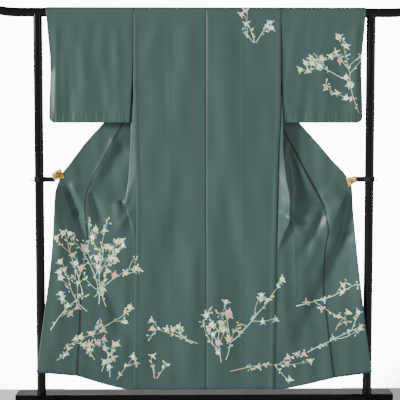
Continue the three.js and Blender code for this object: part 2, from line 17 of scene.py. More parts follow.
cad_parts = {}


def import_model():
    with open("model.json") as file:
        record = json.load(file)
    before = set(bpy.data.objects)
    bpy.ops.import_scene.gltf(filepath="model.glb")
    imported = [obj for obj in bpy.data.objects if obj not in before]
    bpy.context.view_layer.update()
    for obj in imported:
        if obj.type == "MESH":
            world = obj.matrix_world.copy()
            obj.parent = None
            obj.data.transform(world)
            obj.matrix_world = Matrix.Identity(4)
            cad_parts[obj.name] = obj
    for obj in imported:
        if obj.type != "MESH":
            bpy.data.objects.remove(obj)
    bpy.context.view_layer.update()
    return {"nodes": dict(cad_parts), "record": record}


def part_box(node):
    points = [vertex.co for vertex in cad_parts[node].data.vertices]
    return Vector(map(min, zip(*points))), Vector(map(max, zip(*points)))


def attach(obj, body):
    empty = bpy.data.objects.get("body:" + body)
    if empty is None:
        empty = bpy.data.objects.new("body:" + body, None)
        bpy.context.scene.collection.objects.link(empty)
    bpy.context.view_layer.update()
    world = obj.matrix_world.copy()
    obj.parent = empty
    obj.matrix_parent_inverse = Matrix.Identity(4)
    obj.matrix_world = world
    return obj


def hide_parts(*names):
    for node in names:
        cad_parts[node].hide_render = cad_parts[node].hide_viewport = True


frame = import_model()

# ---- places read from the frame ----

bar_low, bar_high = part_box("stand_bar")
base_low, base_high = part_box("stand_base")
TUBE_R = (bar_high[1] - bar_low[1]) / 2
BAR_Z = bar_low[2] + TUBE_R
CENTRE_X = (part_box("body_left")[1][0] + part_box("body_right")[0][0]) / 2
BACK_LENGTH = BAR_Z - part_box("body_left")[0][2] - 0.0005

CLOTH = 0.0013
COLLAR_CLOTH = 0.0026
SEAM_GAP = 0.0003
DRAPE_R = TUBE_R + 0.0022
QUARTER = DRAPE_R * math.pi / 2
NECK_HALF = 0.084
NECK_PAST_TOP = 0.014
SLEEVE_DROP = 0.461
WRIST_OPENING = 0.23
SLEEVE_CORNER_R = 0.026
FRONT_ROUNDING = 0.009
HEM_SAG = 0.010
SIDE_TUCK = 0.004  # the front's side edge lies this far inside the back's
ALLOWANCE = 0.004  # how far a seam's turned-in edge runs behind its neighbour
OKUMI_TIP = 0.245
FRONT_WIDTH = 0.24
GRIP_Y = -0.006  # the clips hold the cloth at this depth
GRIP_FLAT = 0.030
GRIP_REACH = 0.066

# ---- tables ----
# These repeat the outline of the CAD's cloth, in metres. x is outward from the centre back seam and
# drop is below the bar's centre. seam is the side seam, pleat the fold hidden behind the back, and
# roll how far it stands out past the seam.


def table(keys, rows):
    """Rows of numbers as arrays with named columns."""
    return {key: np.array(column, float) for key, column in zip(keys.split(), zip(*rows))}


ROW_KEYS = "row seam_x seam_drop roll pleat okumi_x okumi_drop edge_x edge_drop"
LEFT_ROWS = table(ROW_KEYS, [
    (0.000, 0.303, 0.000, 0.000, 0.219, 0.084, 0.000, 0.084, 0.000),
    (0.120, 0.305, 0.120, 0.000, 0.190, 0.152, 0.101, 0.154, 0.099),
    (0.230, 0.306, 0.230, 0.003, 0.165, 0.215, 0.192, 0.219, 0.189),
    (0.400, 0.305, 0.400, 0.014, 0.120, 0.294, 0.344, 0.322, 0.322),
    (0.582, 0.300, 0.582, 0.026, 0.073, 0.379, 0.505, 0.435, 0.461),
    (0.700, 0.298, 0.700, 0.036, 0.042, 0.433, 0.612, 0.514, 0.549),
    (0.800, 0.297, 0.800, 0.048, 0.020, 0.478, 0.698, 0.572, 0.628),
    (0.870, 0.296, 0.870, 0.030, 0.004, 0.500, 0.752, 0.614, 0.684),
    (0.940, 0.297, 0.936, 0.008, 0.000, 0.510, 0.824, 0.638, 0.760),
    (1.030, 0.299, 1.021, 0.000, 0.000, 0.505, 0.916, 0.644, 0.858),
    (1.110, 0.302, 1.096, 0.000, 0.000, 0.501, 0.997, 0.649, 0.946),
    (1.235, 0.307, 1.214, 0.000, 0.000, 0.527, 1.125, 0.662, 1.082),
    (1.400, 0.310, 1.371, 0.000, 0.000, 0.535, 1.294, 0.687, 1.262),
    (1.640, 0.312, 1.597, 0.000, 0.000, 0.550, 1.539, 0.724, 1.523),
])
RIGHT_ROWS = table(ROW_KEYS, [
    (0.000, 0.312, 0.000, 0.000, 0.226, 0.086, 0.000, 0.086, 0.000),
    (0.120, 0.314, 0.120, 0.000, 0.204, 0.118, 0.112, 0.120, 0.110),
    (0.230, 0.314, 0.230, 0.003, 0.187, 0.180, 0.203, 0.183, 0.200),
    (0.400, 0.312, 0.400, 0.014, 0.150, 0.258, 0.353, 0.285, 0.329),
    (0.582, 0.305, 0.582, 0.026, 0.102, 0.343, 0.514, 0.400, 0.464),
    (0.700, 0.302, 0.700, 0.042, 0.070, 0.399, 0.618, 0.478, 0.552),
    (0.800, 0.300, 0.800, 0.057, 0.044, 0.445, 0.706, 0.540, 0.624),
    (0.870, 0.299, 0.870, 0.058, 0.022, 0.478, 0.768, 0.594, 0.684),
    (0.940, 0.298, 0.939, 0.034, 0.005, 0.506, 0.832, 0.620, 0.742),
    (1.030, 0.296, 1.024, 0.008, 0.000, 0.519, 0.925, 0.628, 0.844),
    (1.110, 0.295, 1.099, 0.000, 0.000, 0.507, 1.007, 0.636, 0.933),
    (1.235, 0.293, 1.217, 0.000, 0.000, 0.502, 1.135, 0.649, 1.074),
    (1.400, 0.292, 1.372, 0.000, 0.000, 0.518, 1.304, 0.671, 1.259),
    (1.640, 0.290, 1.597, 0.000, 0.000, 0.548, 1.551, 0.711, 1.528),
])
# How far behind the bar's centre plane each line of the front hangs.
DEPTH_ROWS = table("row seam inner layer okumi edge", [
    (0.000, 0.0212, 0.0212, 0.000, 0.0212, 0.0212),
    (0.120, 0.0140, 0.0200, 0.006, 0.0270, 0.0280),
    (0.230, 0.0070, 0.0160, 0.007, 0.0250, 0.0260),
    (0.400, -0.0160, 0.0100, 0.008, 0.0200, 0.0210),
    (0.582, -0.0170, 0.0040, 0.008, 0.0130, 0.0120),
    (0.700, -0.0170, -0.0010, 0.008, 0.0070, 0.0040),
    (0.800, -0.0170, -0.0070, 0.007, 0.0010, -0.0030),
    (0.870, -0.0170, -0.0130, 0.003, -0.0040, -0.0070),
    (0.940, -0.0175, -0.0170, 0.000, -0.0090, -0.0120),
    (1.030, -0.0175, -0.0180, 0.000, -0.0130, -0.0160),
    (1.110, -0.0175, -0.0180, 0.000, -0.0160, -0.0190),
    (1.235, -0.0175, -0.0180, 0.000, -0.0200, -0.0240),
    (1.400, -0.0175, -0.0180, 0.000, -0.0230, -0.0270),
    (1.640, -0.0175, -0.0180, 0.000, -0.0240, -0.0270),
])
EDGE_LEFT = table("drop x", [
    (-0.022, 0.303), (0.200, 0.306), (0.450, 0.304), (0.580, 0.300),
    (0.790, 0.296), (1.000, 0.298), (1.170, 0.306), (1.600, 0.312),
])
EDGE_RIGHT = table("drop x", [
    (-0.022, 0.312), (0.200, 0.314), (0.450, 0.311), (0.580, 0.305),
    (0.790, 0.300), (0.960, 0.297), (1.215, 0.293), (1.600, 0.290),
])
SLEEVE_OUTER = table("drop x", [
    (-0.022, 0.669), (0.060, 0.664), (0.130, 0.658), (0.202, 0.653),
    (0.285, 0.655), (0.380, 0.659), (0.461, 0.661),
])
SLEEVE_LEFT = table("drop x", [
    (-0.022, 0.3042), (0.202, 0.3072), (0.285, 0.309), (0.330, 0.313), (0.461, 0.322),
])
SLEEVE_RIGHT = table("drop x", [
    (-0.022, 0.3132), (0.202, 0.3152), (0.285, 0.317), (0.330, 0.320), (0.461, 0.326),
])

# Soft folds: a line from (x0, d0) to (x1, d1), with its half-widths on the inner side (in0, in1) and
# on the outer side (out0, out1), and its heights towards the viewer (a trough is negative).
FOLD_KEYS = "x0 d0 x1 d1 in0 in1 out0 out1 h0 h1"
LEFT_FOLDS = table(FOLD_KEYS, [
    # the long trough that hangs from the clip, and the pale band outside it
    (0.606, 0.702, 0.550, 0.850, 0.016, 0.026, 0.012, 0.024, -0.020, -0.026),
    (0.550, 0.850, 0.470, 1.120, 0.026, 0.046, 0.024, 0.040, -0.024, -0.008),
    (0.576, 0.716, 0.500, 0.905, 0.036, 0.044, 0.012, 0.022, 0.010, 0.010),
    (0.644, 0.735, 0.622, 1.060, 0.022, 0.030, 0.020, 0.030, 0.009, 0.008),
    # the deep hollow behind the underarm and the crest along the seam
    (0.332, 0.505, 0.440, 0.720, 0.050, 0.044, 0.020, 0.018, -0.012, -0.004),
    (0.358, 0.470, 0.474, 0.700, 0.018, 0.020, 0.014, 0.014, 0.006, 0.004),
    # short ridges by the side seam and the pale patch beside them
    (0.306, 0.700, 0.340, 0.805, 0.010, 0.014, 0.010, 0.012, 0.007, 0.005),
    (0.306, 0.815, 0.366, 0.900, 0.012, 0.018, 0.012, 0.014, 0.006, 0.004),
    (0.376, 0.800, 0.368, 0.935, 0.030, 0.030, 0.020, 0.024, 0.007, 0.005),
    (0.360, 0.790, 0.352, 0.830, 0.010, 0.012, 0.008, 0.010, -0.007, -0.003),
    # the short dark crease from the seam's kink
    (0.488, 0.765, 0.440, 0.880, 0.014, 0.026, 0.010, 0.022, -0.009, -0.006),
    (0.300, 1.000, 0.402, 0.990, 0.005, 0.005, 0.003, 0.003, 0.0018, 0.0010),
    (0.450, 1.130, 0.335, 1.370, 0.036, 0.050, 0.020, 0.030, -0.009, -0.006),
    (0.600, 1.100, 0.650, 1.440, 0.030, 0.040, 0.026, 0.036, 0.006, 0.005),
    (0.340, 1.000, 0.352, 1.500, 0.020, 0.026, 0.020, 0.026, 0.002, 0.003),
])
RIGHT_FOLDS = table(FOLD_KEYS, [
    # the pale pleat beside the side seam, up to its crest, and the hollow past it
    (0.333, 0.560, 0.362, 0.826, 0.024, 0.052, 0.008, 0.009, 0.007, 0.017),
    (0.352, 0.560, 0.392, 0.770, 0.010, 0.016, 0.018, 0.030, -0.008, -0.008),
    (0.318, 0.505, 0.472, 0.772, 0.014, 0.016, 0.008, 0.008, 0.006, 0.006),
    # the V under the pleat and the rays that leave it
    (0.312, 0.836, 0.352, 0.868, 0.012, 0.012, 0.010, 0.010, 0.008, 0.007),
    (0.346, 0.858, 0.414, 0.932, 0.012, 0.022, 0.012, 0.022, 0.009, 0.005),
    (0.482, 0.815, 0.400, 0.985, 0.034, 0.038, 0.012, 0.020, 0.007, 0.005),
    (0.494, 0.850, 0.420, 1.020, 0.018, 0.026, 0.018, 0.026, -0.010, -0.006),
    # the crest from the clip with the deep dark trough beside it
    (0.594, 0.738, 0.518, 0.930, 0.046, 0.054, 0.010, 0.020, 0.016, 0.013),
    (0.612, 0.740, 0.586, 0.950, 0.012, 0.024, 0.030, 0.090, -0.018, -0.025),
    (0.586, 0.950, 0.400, 1.400, 0.024, 0.044, 0.090, 0.110, -0.025, -0.010),
    # the fold line from the seam's kink to the clip
    (0.495, 0.775, 0.590, 0.728, 0.026, 0.026, 0.026, 0.026, 0.005, 0.004),
    (0.470, 0.960, 0.400, 1.130, 0.024, 0.034, 0.020, 0.030, 0.006, 0.003),
    (0.640, 0.900, 0.664, 1.300, 0.024, 0.034, 0.020, 0.034, 0.006, 0.004),
    (0.377, 0.960, 0.382, 1.230, 0.005, 0.005, 0.003, 0.003, 0.0018, 0.0012),
    (0.330, 1.020, 0.322, 1.480, 0.020, 0.026, 0.020, 0.026, 0.002, 0.003),
])
# The back's waves, in the part's own x.
BACK_FOLDS = table(FOLD_KEYS, [
    (-0.190, -0.010, -0.255, 0.260, 0.024, 0.040, 0.024, 0.040, 0.005, 0.002),
    (-0.060, 0.060, -0.170, 0.900, 0.040, 0.060, 0.040, 0.060, 0.004, 0.003),
    (-0.110, 0.700, -0.215, 1.560, 0.034, 0.060, 0.034, 0.060, -0.005, -0.005),
    (0.070, 0.040, 0.150, 1.000, 0.040, 0.060, 0.040, 0.060, 0.004, 0.003),
    (0.090, 0.760, 0.200, 1.560, 0.030, 0.056, 0.030, 0.056, -0.005, -0.005),
    (0.030, 0.900, 0.060, 1.590, 0.030, 0.040, 0.030, 0.040, 0.004, 0.005),
    (-0.040, 1.000, -0.070, 1.590, 0.030, 0.040, 0.030, 0.040, 0.004, 0.004),
])
# Pressed-in storage creases on the back: thin, faint and nearly straight.
BACK_CREASES = table(FOLD_KEYS, [
    (-0.250, 0.385, -0.020, 0.372, 0.004, 0.004, 0.004, 0.004, 0.0009, 0.0006),
    (0.160, 0.395, 0.300, 0.398, 0.004, 0.004, 0.004, 0.004, 0.0009, 0.0006),
    (-0.180, 0.528, -0.010, 0.520, 0.004, 0.004, 0.004, 0.004, 0.0008, 0.0005),
    (0.020, 0.522, 0.130, 0.524, 0.004, 0.004, 0.004, 0.004, 0.0006, 0.0008),
    (-0.290, 0.960, -0.030, 0.950, 0.005, 0.005, 0.005, 0.005, 0.0007, 0.0005),
    (0.030, 0.948, 0.270, 0.955, 0.005, 0.005, 0.005, 0.005, 0.0006, 0.0007),
    (-0.150, 0.020, -0.150, 1.500, 0.004, 0.004, 0.004, 0.004, 0.0006, 0.0005),
    (0.158, 0.020, 0.158, 1.500, 0.004, 0.004, 0.004, 0.004, 0.0006, 0.0005),
])
SLEEVE_FOLDS_LEFT = table(FOLD_KEYS, [
    (0.626, 0.1, 0.63, 0.44, 0.012, 0.014, 0.012, 0.014, 0.0024, 0.0036),
    (0.58, 0.2, 0.57, 0.45, 0.014, 0.018, 0.014, 0.018, -0.0012, -0.0036),
    (0.52, 0.12, 0.508, 0.45, 0.02, 0.022, 0.02, 0.022, 0.0018, 0.003),
    (0.44, 0.24, 0.43, 0.45, 0.018, 0.022, 0.018, 0.022, -0.0012, -0.0024),
    (0.372, 0.08, 0.376, 0.45, 0.02, 0.022, 0.02, 0.022, 0.0012, 0.0018),
])
SLEEVE_FOLDS_RIGHT = table(FOLD_KEYS, [
    (0.63, 0.06, 0.622, 0.44, 0.014, 0.016, 0.014, 0.016, 0.0024, 0.003),
    (0.56, 0.16, 0.574, 0.45, 0.016, 0.02, 0.016, 0.02, -0.0012, -0.003),
    (0.48, 0.1, 0.5, 0.45, 0.02, 0.024, 0.02, 0.024, 0.0018, 0.003),
    (0.42, 0.22, 0.418, 0.45, 0.018, 0.022, 0.018, 0.022, -0.0012, -0.0024),
    (0.362, 0.06, 0.356, 0.45, 0.018, 0.02, 0.018, 0.02, 0.0012, 0.0018),
])

# hollow is where each front takes a patch of painted shade below the underarm.
LEFT = {
    "name": "left", "out": -1, "rows": LEFT_ROWS, "folds": LEFT_FOLDS, "edge": EDGE_LEFT,
    "sleeve": SLEEVE_LEFT, "sleeve_folds": SLEEVE_FOLDS_LEFT,
    "grip": (0.609, 0.674), "lean": 0.4, "tilt": 0.5, "hollow": (0.340, 0.535),
}
RIGHT = {
    "name": "right", "out": 1, "rows": RIGHT_ROWS, "folds": RIGHT_FOLDS, "edge": EDGE_RIGHT,
    "sleeve": SLEEVE_RIGHT, "sleeve_folds": SLEEVE_FOLDS_RIGHT,
    "grip": (0.600, 0.712), "lean": -0.35, "tilt": -0.32, "hollow": (0.352, 0.560),
}

# ---- curves and folds ----


def smooth(t):
    t = np.clip(t, 0, 1)
    return t * t * (3 - 2 * t)


def mix(a, b, t):
    return a + (b - a) * t


def bell(x, width):
    """1 where x is 0, falling smoothly to nothing over about twice the width."""
    return np.exp(-((x / width) ** 2))


def look(rows, key, at):
    """A column of a table where its first column is `at`, on a curve that never overshoots its rows."""
    xs = rows[next(iter(rows))]
    ys = rows[key]
    at = np.clip(at, xs[0], xs[-1])
    steps = np.diff(xs)
    slopes = np.diff(ys) / steps
    product = slopes[:-1] * slopes[1:]
    total = slopes[:-1] + slopes[1:]
    inner = np.where(product > 0, 2 * product / np.where(product > 0, total, 1), 0)
    tangents = np.concatenate([slopes[:1], inner, slopes[-1:]])
    i = np.clip(np.searchsorted(xs, at, side="right") - 1, 0, len(steps) - 1)
    h = steps[i]
    t = (at - xs[i]) / h
    return (
        ys[i] * (2 * t**3 - 3 * t**2 + 1)
        + ys[i + 1] * (3 * t**2 - 2 * t**3)
        + tangents[i] * h * (t**3 - 2 * t**2 + t)
        + tangents[i + 1] * h * (t**3 - t**2)
    )


def fold_height(folds, x, drop):
    """The height of all folds of a table at places on a panel."""
    height = np.zeros(np.broadcast(x, drop).shape)
    for x0, d0, x1, d1, in0, in1, out0, out1, h0, h1 in zip(*folds.values()):
        ax, ad = x1 - x0, d1 - d0
        length2 = ax * ax + ad * ad
        t = ((x - x0) * ax + (drop - d0) * ad) / length2
        off = ((x - x0) * ad - (drop - d0) * ax) / math.sqrt(length2) * (1 if ad > -abs(ax) * 0.2 else -1)
        share = np.clip(t, 0, 1)
        width = mix(mix(in0, in1, share), mix(out0, out1, share), smooth(off / 0.004 + 0.5))
        along = smooth((t + 0.12) / 0.2) * smooth((1.15 - t) / 0.3)
        height += mix(h0, h1, share) * along * bell(off, width)
    return height


def ripple(x, drop, seed, size, height):
    """Slow, uneven waves, longer down the cloth than across it."""
    rng = random.Random(seed)
    total = 0
    for _ in range(7):
        across = rng.uniform(0.7, 1.6) * 2 * math.pi / size
        down = rng.uniform(-0.35, 0.35) * 2 * math.pi / size
        total = total + np.sin(across * x + down * drop + rng.uniform(0, 2 * math.pi))
    return total * height / 3


def line_at(rows, row):
    """Every column of a table at one row, by name."""
    return {key: float(look(rows, key, row)) for key in rows if key != "row"}


def to_part(side, x, y, drop):
    x, y, drop = np.broadcast_arrays(x, y, drop)
    return np.stack([CENTRE_X + side["out"] * x, y, BAR_Z - drop], axis=-1)


def along_polyline(points, share, rounding):
    """Points at shares of a polyline's length, its corners rounded by averaging along it."""
    points = np.array(points)
    lengths = np.linalg.norm(np.diff(points, axis=0), axis=1)
    stations = np.concatenate([[0], np.cumsum(lengths)])
    total = stations[-1]
    centre = share * total
    reach = np.minimum(rounding, np.minimum(centre, total - centre))
    samples = np.linspace(-1, 1, 9)
    at = centre[:, None] + samples[None, :] * reach[:, None]
    return np.stack([np.interp(at, stations, points[:, k]).mean(axis=1) for k in range(3)], axis=-1)


# ---- the garment's surfaces ----


def over_bar(s):
    """Depth and drop of the cloth at s along it from the top of the bar, negative on the back."""
    bent = np.clip(s, -QUARTER, QUARTER) / DRAPE_R
    past = np.maximum(0, np.abs(s) - QUARTER)
    return DRAPE_R * np.sin(bent), past - DRAPE_R * np.cos(bent)


def front_point(side, x, y, drop, share):
    """A free point of a front, with the folds pushed towards the viewer and the clip's grip."""
    small = ripple(x, drop, side["out"] + 5, 0.11, 0.0011)
    height = (fold_height(side["folds"], x, drop) + small) * smooth(share / 0.25)
    grip_x, grip_drop = side["grip"]
    free = smooth((np.hypot(x - grip_x, drop - grip_drop) - GRIP_FLAT) / GRIP_REACH)
    return to_part(side, x, mix(GRIP_Y, y - height, free), drop)


def back_point(side, across, s):
    """A point of the back: across is 0 at the centre seam and 1 at the side edge."""
    y, drop = over_bar(s)
    x = across * look(side["edge"], "x", drop)
    own_x = CENTRE_X + side["out"] * x
    wave = fold_height(BACK_FOLDS, own_x, drop) + ripple(own_x, drop, 11, 0.13, 0.0012)
    wave = wave * smooth(drop / 0.12) * smooth((1 - across) / 0.08)
    wave = wave + fold_height(BACK_CREASES, own_x, drop) * smooth(drop / 0.05)
    inside = look(side["edge"], "x", drop) * (1 - across)
    wave = wave + 0.0013 * bell(inside - 0.010, 0.007) * smooth(drop / 0.06)
    groove = 0.0022 * bell(x, 0.0035) * smooth(drop / 0.03)
    return to_part(side, x, y - wave + groove, drop)


def front_strip(side, share, row):
    """A row of a front: share is 0 at the side seam and 1 at the okumi or neck edge."""
    get = line_at(side["rows"], row)
    depth = line_at(DEPTH_ROWS, row)
    crease_x = get["seam_x"] + get["roll"] - get["pleat"]
    rolled = min(depth["seam"] + side["tilt"] * get["roll"], depth["inner"] - 0.003)
    points = [
        (get["seam_x"] - SIDE_TUCK, depth["seam"] + 0.0015, get["seam_drop"]),
        (get["seam_x"] + get["roll"] + 0.0005, rolled, get["seam_drop"]),
        (crease_x, depth["inner"], get["seam_drop"]),
        (crease_x + 0.0005, depth["inner"] + depth["layer"], get["seam_drop"]),
        (get["okumi_x"], depth["okumi"], get["okumi_drop"]),
    ]
    p = along_polyline(points, share, FRONT_ROUNDING)
    sag = HEM_SAG * smooth((row - 1.3) / 0.34) * np.sin(math.pi * np.clip(share, 0, 1) ** 0.6)
    free = smooth((row - 0.56) / 0.2)
    seam_line = 0.0008 * bell(1 - share, 0.012) * free
    return front_point(side, p[:, 0], p[:, 1] + seam_line, p[:, 2] + sag, share * free)


def okumi_point(side, across, row):
    """A point of an overlap panel: across is 0 at its seam and 1 at its free edge."""
    get = line_at(side["rows"], row)
    depth = line_at(DEPTH_ROWS, row)
    x = mix(get["okumi_x"], get["edge_x"], across)
    drop = mix(get["okumi_drop"], get["edge_drop"], across)
    y = mix(depth["okumi"], depth["edge"], across)
    seam_line = 0.0012 * bell(across, 0.028)
    return front_point(side, x, y + seam_line, drop, smooth((row - 0.56) / 0.2))


def from_edge(side, row, distance):
    """A point of a front at a distance inward from its free edge."""
    get = line_at(side["rows"], row)
    width = math.hypot(get["edge_x"] - get["okumi_x"], get["edge_drop"] - get["okumi_drop"])
    if distance <= width:
        return okumi_point(side, 1 - distance / width, row)
    return front_strip(side, np.array([1 - (distance - width) / FRONT_WIDTH]), row)[0]


def sleeve_loop(side, across, count):
    """A loop round a sleeve at `across` of its width: over the bar, down both layers, and below."""
    back_y = lambda d: -DRAPE_R + 0.007 * np.clip(d / SLEEVE_DROP, 0, 1)
    front_y = lambda d: DRAPE_R - 0.028 * np.clip(d / SLEEVE_DROP, 0, 1)
    bottom_r = (front_y(SLEEVE_DROP) - back_y(SLEEVE_DROP)) / 2
    width = look(SLEEVE_OUTER, "x", SLEEVE_DROP) - look(side["sleeve"], "x", SLEEVE_DROP)
    corner = max(0, SLEEVE_CORNER_R - (1 - across) * width)
    lowest = SLEEVE_DROP - bottom_r - SLEEVE_CORNER_R + math.sqrt(SLEEVE_CORNER_R**2 - corner**2)
    top = np.linspace(-QUARTER, QUARTER, 24)
    bar_y, bar_drop = over_bar(top)
    down = np.linspace(0, lowest, count)[1:]
    turn = np.linspace(math.pi / 2, -math.pi / 2, 12)[1:-1]
    middle = (back_y(SLEEVE_DROP) + front_y(SLEEVE_DROP)) / 2
    y = np.concatenate([bar_y, front_y(down), middle + bottom_r * np.sin(turn), back_y(down)[::-1]])
    drop = np.concatenate([bar_drop, down, lowest + bottom_r * np.cos(turn), down[::-1]])
    x = mix(look(side["sleeve"], "x", drop), look(SLEEVE_OUTER, "x", drop), across)
    centre = (back_y(drop) + front_y(drop)) / 2
    facing = np.sign(y - centre)
    sewn = smooth((across - 0.93) / 0.07) * smooth((drop - WRIST_OPENING + 0.02) / 0.04)
    hang = smooth(drop / 0.08) * smooth((1 - across) / 0.05) * smooth(across / 0.04)
    wave = fold_height(side["sleeve_folds"], x, drop) + ripple(x, drop, side["out"] + 31, 0.09, 0.0009)
    pucker = 0.0011 * np.sin(x * 260 + 3 * np.sin(x * 71)) * smooth((drop - 0.40) / 0.05)
    wave = (wave + pucker) * hang
    gap = np.abs(y - centre)
    y = y - np.where(facing < 0, wave, np.clip(wave, -0.3 * gap, 0.3 * gap))
    y = mix(y, centre + facing * 0.0012, sewn)
    return to_part(side, x, y, drop)


# ---- meshes ----


def add_mesh(name, vertices, faces):
    mesh = bpy.data.meshes.new(name)
    mesh.from_pydata(vertices, [], faces)
    mesh.validate()
    mesh.update()
    piece = bpy.data.objects.new(name, mesh)
    bpy.context.scene.collection.objects.link(piece)
    mesh.polygons.foreach_set("use_smooth", [True] * len(mesh.polygons))
    return piece


def shell(name, grid, thickness, keep=None, ring=False, seam=None):
    """A closed thin wall on a grid of points. Its UV map holds its lengths across and along, and its
    seam attribute how much painted shade each place takes: 1 in a seam's groove, less in a hollow."""
    rows, cols = grid.shape[:2]
    spans = cols if ring else cols - 1
    if keep is None:
        keep = np.ones((rows - 1, spans), bool)
    down = np.gradient(grid, axis=0)
    if ring:
        right = np.roll(grid, -1, axis=1) - np.roll(grid, 1, axis=1)
    else:
        right = np.gradient(grid, axis=1)
    normal = np.cross(down, right)
    normal /= np.maximum(np.linalg.norm(normal, axis=-1, keepdims=True), 1e-12)
    near = grid + normal * thickness / 2
    far = grid - normal * thickness / 2
    count = rows * cols
    vertices = np.concatenate([near.reshape(-1, 3), far.reshape(-1, 3)])
    at = lambda i, j: i * cols + (j % cols)
    kept = lambda i, j: 0 <= i < rows - 1 and (ring or 0 <= j < spans) and keep[i, j % spans]
    faces = []
    for i in range(rows - 1):
        for j in range(spans):
            if not keep[i, j]:
                continue
            a, b, c, d = at(i, j), at(i + 1, j), at(i + 1, j + 1), at(i, j + 1)
            faces.append((a, b, c, d))
            faces.append((a + count, d + count, c + count, b + count))
            if not kept(i - 1, j):
                faces.append((a, d, d + count, a + count))
            if not kept(i + 1, j):
                faces.append((c, b, b + count, c + count))
            if not kept(i, j - 1):
                faces.append((b, a, a + count, b + count))
            if not kept(i, j + 1):
                faces.append((d, c, c + count, d + count))
    used = np.zeros(2 * count, bool)
    used[np.array([v for f in faces for v in f])] = True
    renumber = np.cumsum(used) - 1
    faces = [tuple(int(renumber[v]) for v in f) for f in faces]
    piece = add_mesh(name, vertices[used].tolist(), faces)
    lengths = lambda axis: np.cumsum(np.linalg.norm(np.diff(grid, axis=axis), axis=-1), axis=axis)
    across = np.concatenate([np.zeros((rows, 1)), lengths(1)], axis=1)
    along = np.concatenate([np.zeros((1, cols)), lengths(0)], axis=0)
    uv = np.stack([across, along], axis=-1).reshape(-1, 2)
    uv = np.concatenate([uv, uv])[used]
    layer = piece.data.uv_layers.new(name="cloth")
    corner_vertex = np.empty(len(piece.data.loops), dtype=np.int32)
    piece.data.loops.foreach_get("vertex_index", corner_vertex)
    layer.data.foreach_set("uv", uv[corner_vertex].ravel())
    shade = piece.data.attributes.new("seam", "FLOAT", "POINT")
    values = np.zeros((rows, cols)) if seam is None else np.broadcast_to(seam, (rows, cols))
    values = np.concatenate([values.ravel(), values.ravel()])[used]
    shade.data.foreach_set("value", values.astype(np.float32))
    face_out(piece)
    return piece


def face_out(piece):
    """Turns every face round if the closed mesh was listed inside out."""
    mesh = piece.data
    mesh.calc_loop_triangles()
    triangles = np.empty(len(mesh.loop_triangles) * 3, dtype=np.int32)
    mesh.loop_triangles.foreach_get("vertices", triangles)
    points = np.empty(len(mesh.vertices) * 3)
    mesh.vertices.foreach_get("co", points)
    a, b, c = points.reshape(-1, 3)[triangles.reshape(-1, 3)].transpose(1, 0, 2)
    if np.einsum("ij,ij->i", a, np.cross(b, c)).sum() < 0:
        mesh.flip_normals()


FRONT_COLS = 66
BACK_COLS = 18


def body_piece(side):
    """One length of cloth: the back, the stretch over the bar and the front, with painted shade in its
    seams, beside the back's edge and in the hollow below the underarm.
    """
    neck_share = 1 - NECK_HALF / look(side["edge"], "x", 0.0)
    back = np.linspace(-(BACK_LENGTH + QUARTER), -QUARTER, 130)[:-1]
    bar = np.linspace(-QUARTER, QUARTER, 25)
    spans = ((0.004, 0.600, 60), (0.604, 1.120, 90), (1.130, 1.640, 56))
    front = np.concatenate([np.linspace(*span) for span in spans])
    neck_row = len(back) + int(np.argmax(bar >= NECK_PAST_TOP))
    ease = lambda n: 0.5 - 0.5 * np.cos(np.linspace(0, math.pi, n))
    shares = np.concatenate([
        mix(np.linspace(0, 1, FRONT_COLS), ease(FRONT_COLS), 0.6),
        1 + (1 / neck_share - 1) * np.linspace(0, 1, BACK_COLS + 1)[1:] ** 0.8,
    ])
    shares = np.append(shares, shares[-1] + 1e-4)
    across = np.maximum(0, 1 - shares * neck_share)
    over = np.concatenate([back, bar])
    upper = back_point(side, across[None, :], over[:, None])
    upper[:, -2:, 0] += side["out"] * SEAM_GAP / 2
    upper[:, -1, 1] += ALLOWANCE * np.where(over < -QUARTER, 1, 0.2)
    lower = np.stack([front_strip(side, np.minimum(shares, 1 - SEAM_GAP / 0.4), row) for row in front])
    grid = np.concatenate([upper, lower])
    keep = np.ones((len(grid) - 1, len(shares) - 1), bool)
    keep[neck_row:, FRONT_COLS - 1 :] = False
    drop = BAR_Z - grid[:, :, 2]
    x = np.abs(grid[:, :, 0] - CENTRE_X)
    is_back = (np.arange(len(grid)) < len(over))[:, None]
    # Painted shade: dark lines in the grooves of the centre seam, the okumi seams and the armholes.
    centre_seam_shade = 0.7 * bell(x, 0.0022) * is_back
    to_seam = (1 - np.broadcast_to(shares, x.shape)) / mix(0.034, 0.017, smooth((drop - 0.46) / 0.16))
    okumi_seam_shade = np.exp(-(to_seam**4)) * ~is_back * (drop > 0.3)
    edge = look(side["edge"], "x", np.clip(drop, 0, 1.6))
    armhole_shade = 0.9 * bell(edge - x, 0.003) * is_back * (drop < 0.26)
    # under is painted shade on the front beside the back's side edge, where that edge would cast its shadow.
    under = ~is_back * bell(np.maximum(0, x - edge), 0.004) * (drop > 0.4)
    under = under * mix(0.5, 0.2, smooth((drop - 0.8) / 0.3))
    # hollow is a patch of painted shade in the hollow below the underarm.
    away = ((x - side["hollow"][0]) / 0.030) ** 2 + ((drop - side["hollow"][1]) / 0.045) ** 2
    hollow = ~is_back * np.exp(-away)
    seam = np.clip(centre_seam_shade + okumi_seam_shade + armhole_shade + under + 0.5 * hollow, 0, 1)
    return shell(f"silk_body_{side['name']}", grid, CLOTH, keep, seam=seam)


def okumi_piece(side):
    """An overlap panel, with its turned-in edge behind the front."""
    spans = ((OKUMI_TIP + 0.03, 0.600, 40), (0.606, 1.120, 90), (1.130, 1.640, 50))
    rows = np.concatenate([np.linspace(*span) for span in spans])
    across = np.concatenate([[0, 0.012, 0.024, 0.036, 0.05, 0.066], np.linspace(0.09, 1, 32)])
    grid = np.stack([okumi_point(side, across, row) for row in rows])
    tuck = grid[:, :1].copy()
    tuck += np.array([-side["out"] * ALLOWANCE, 0.0022, 0])
    grid = np.concatenate([tuck, grid], axis=1)
    # Painted shade along the okumi seam's groove.
    seam = np.exp(-((np.concatenate([[0], across]) / 0.036) ** 4))
    return shell(f"silk_okumi_{side['name']}", grid, CLOTH, seam=seam[None, :])


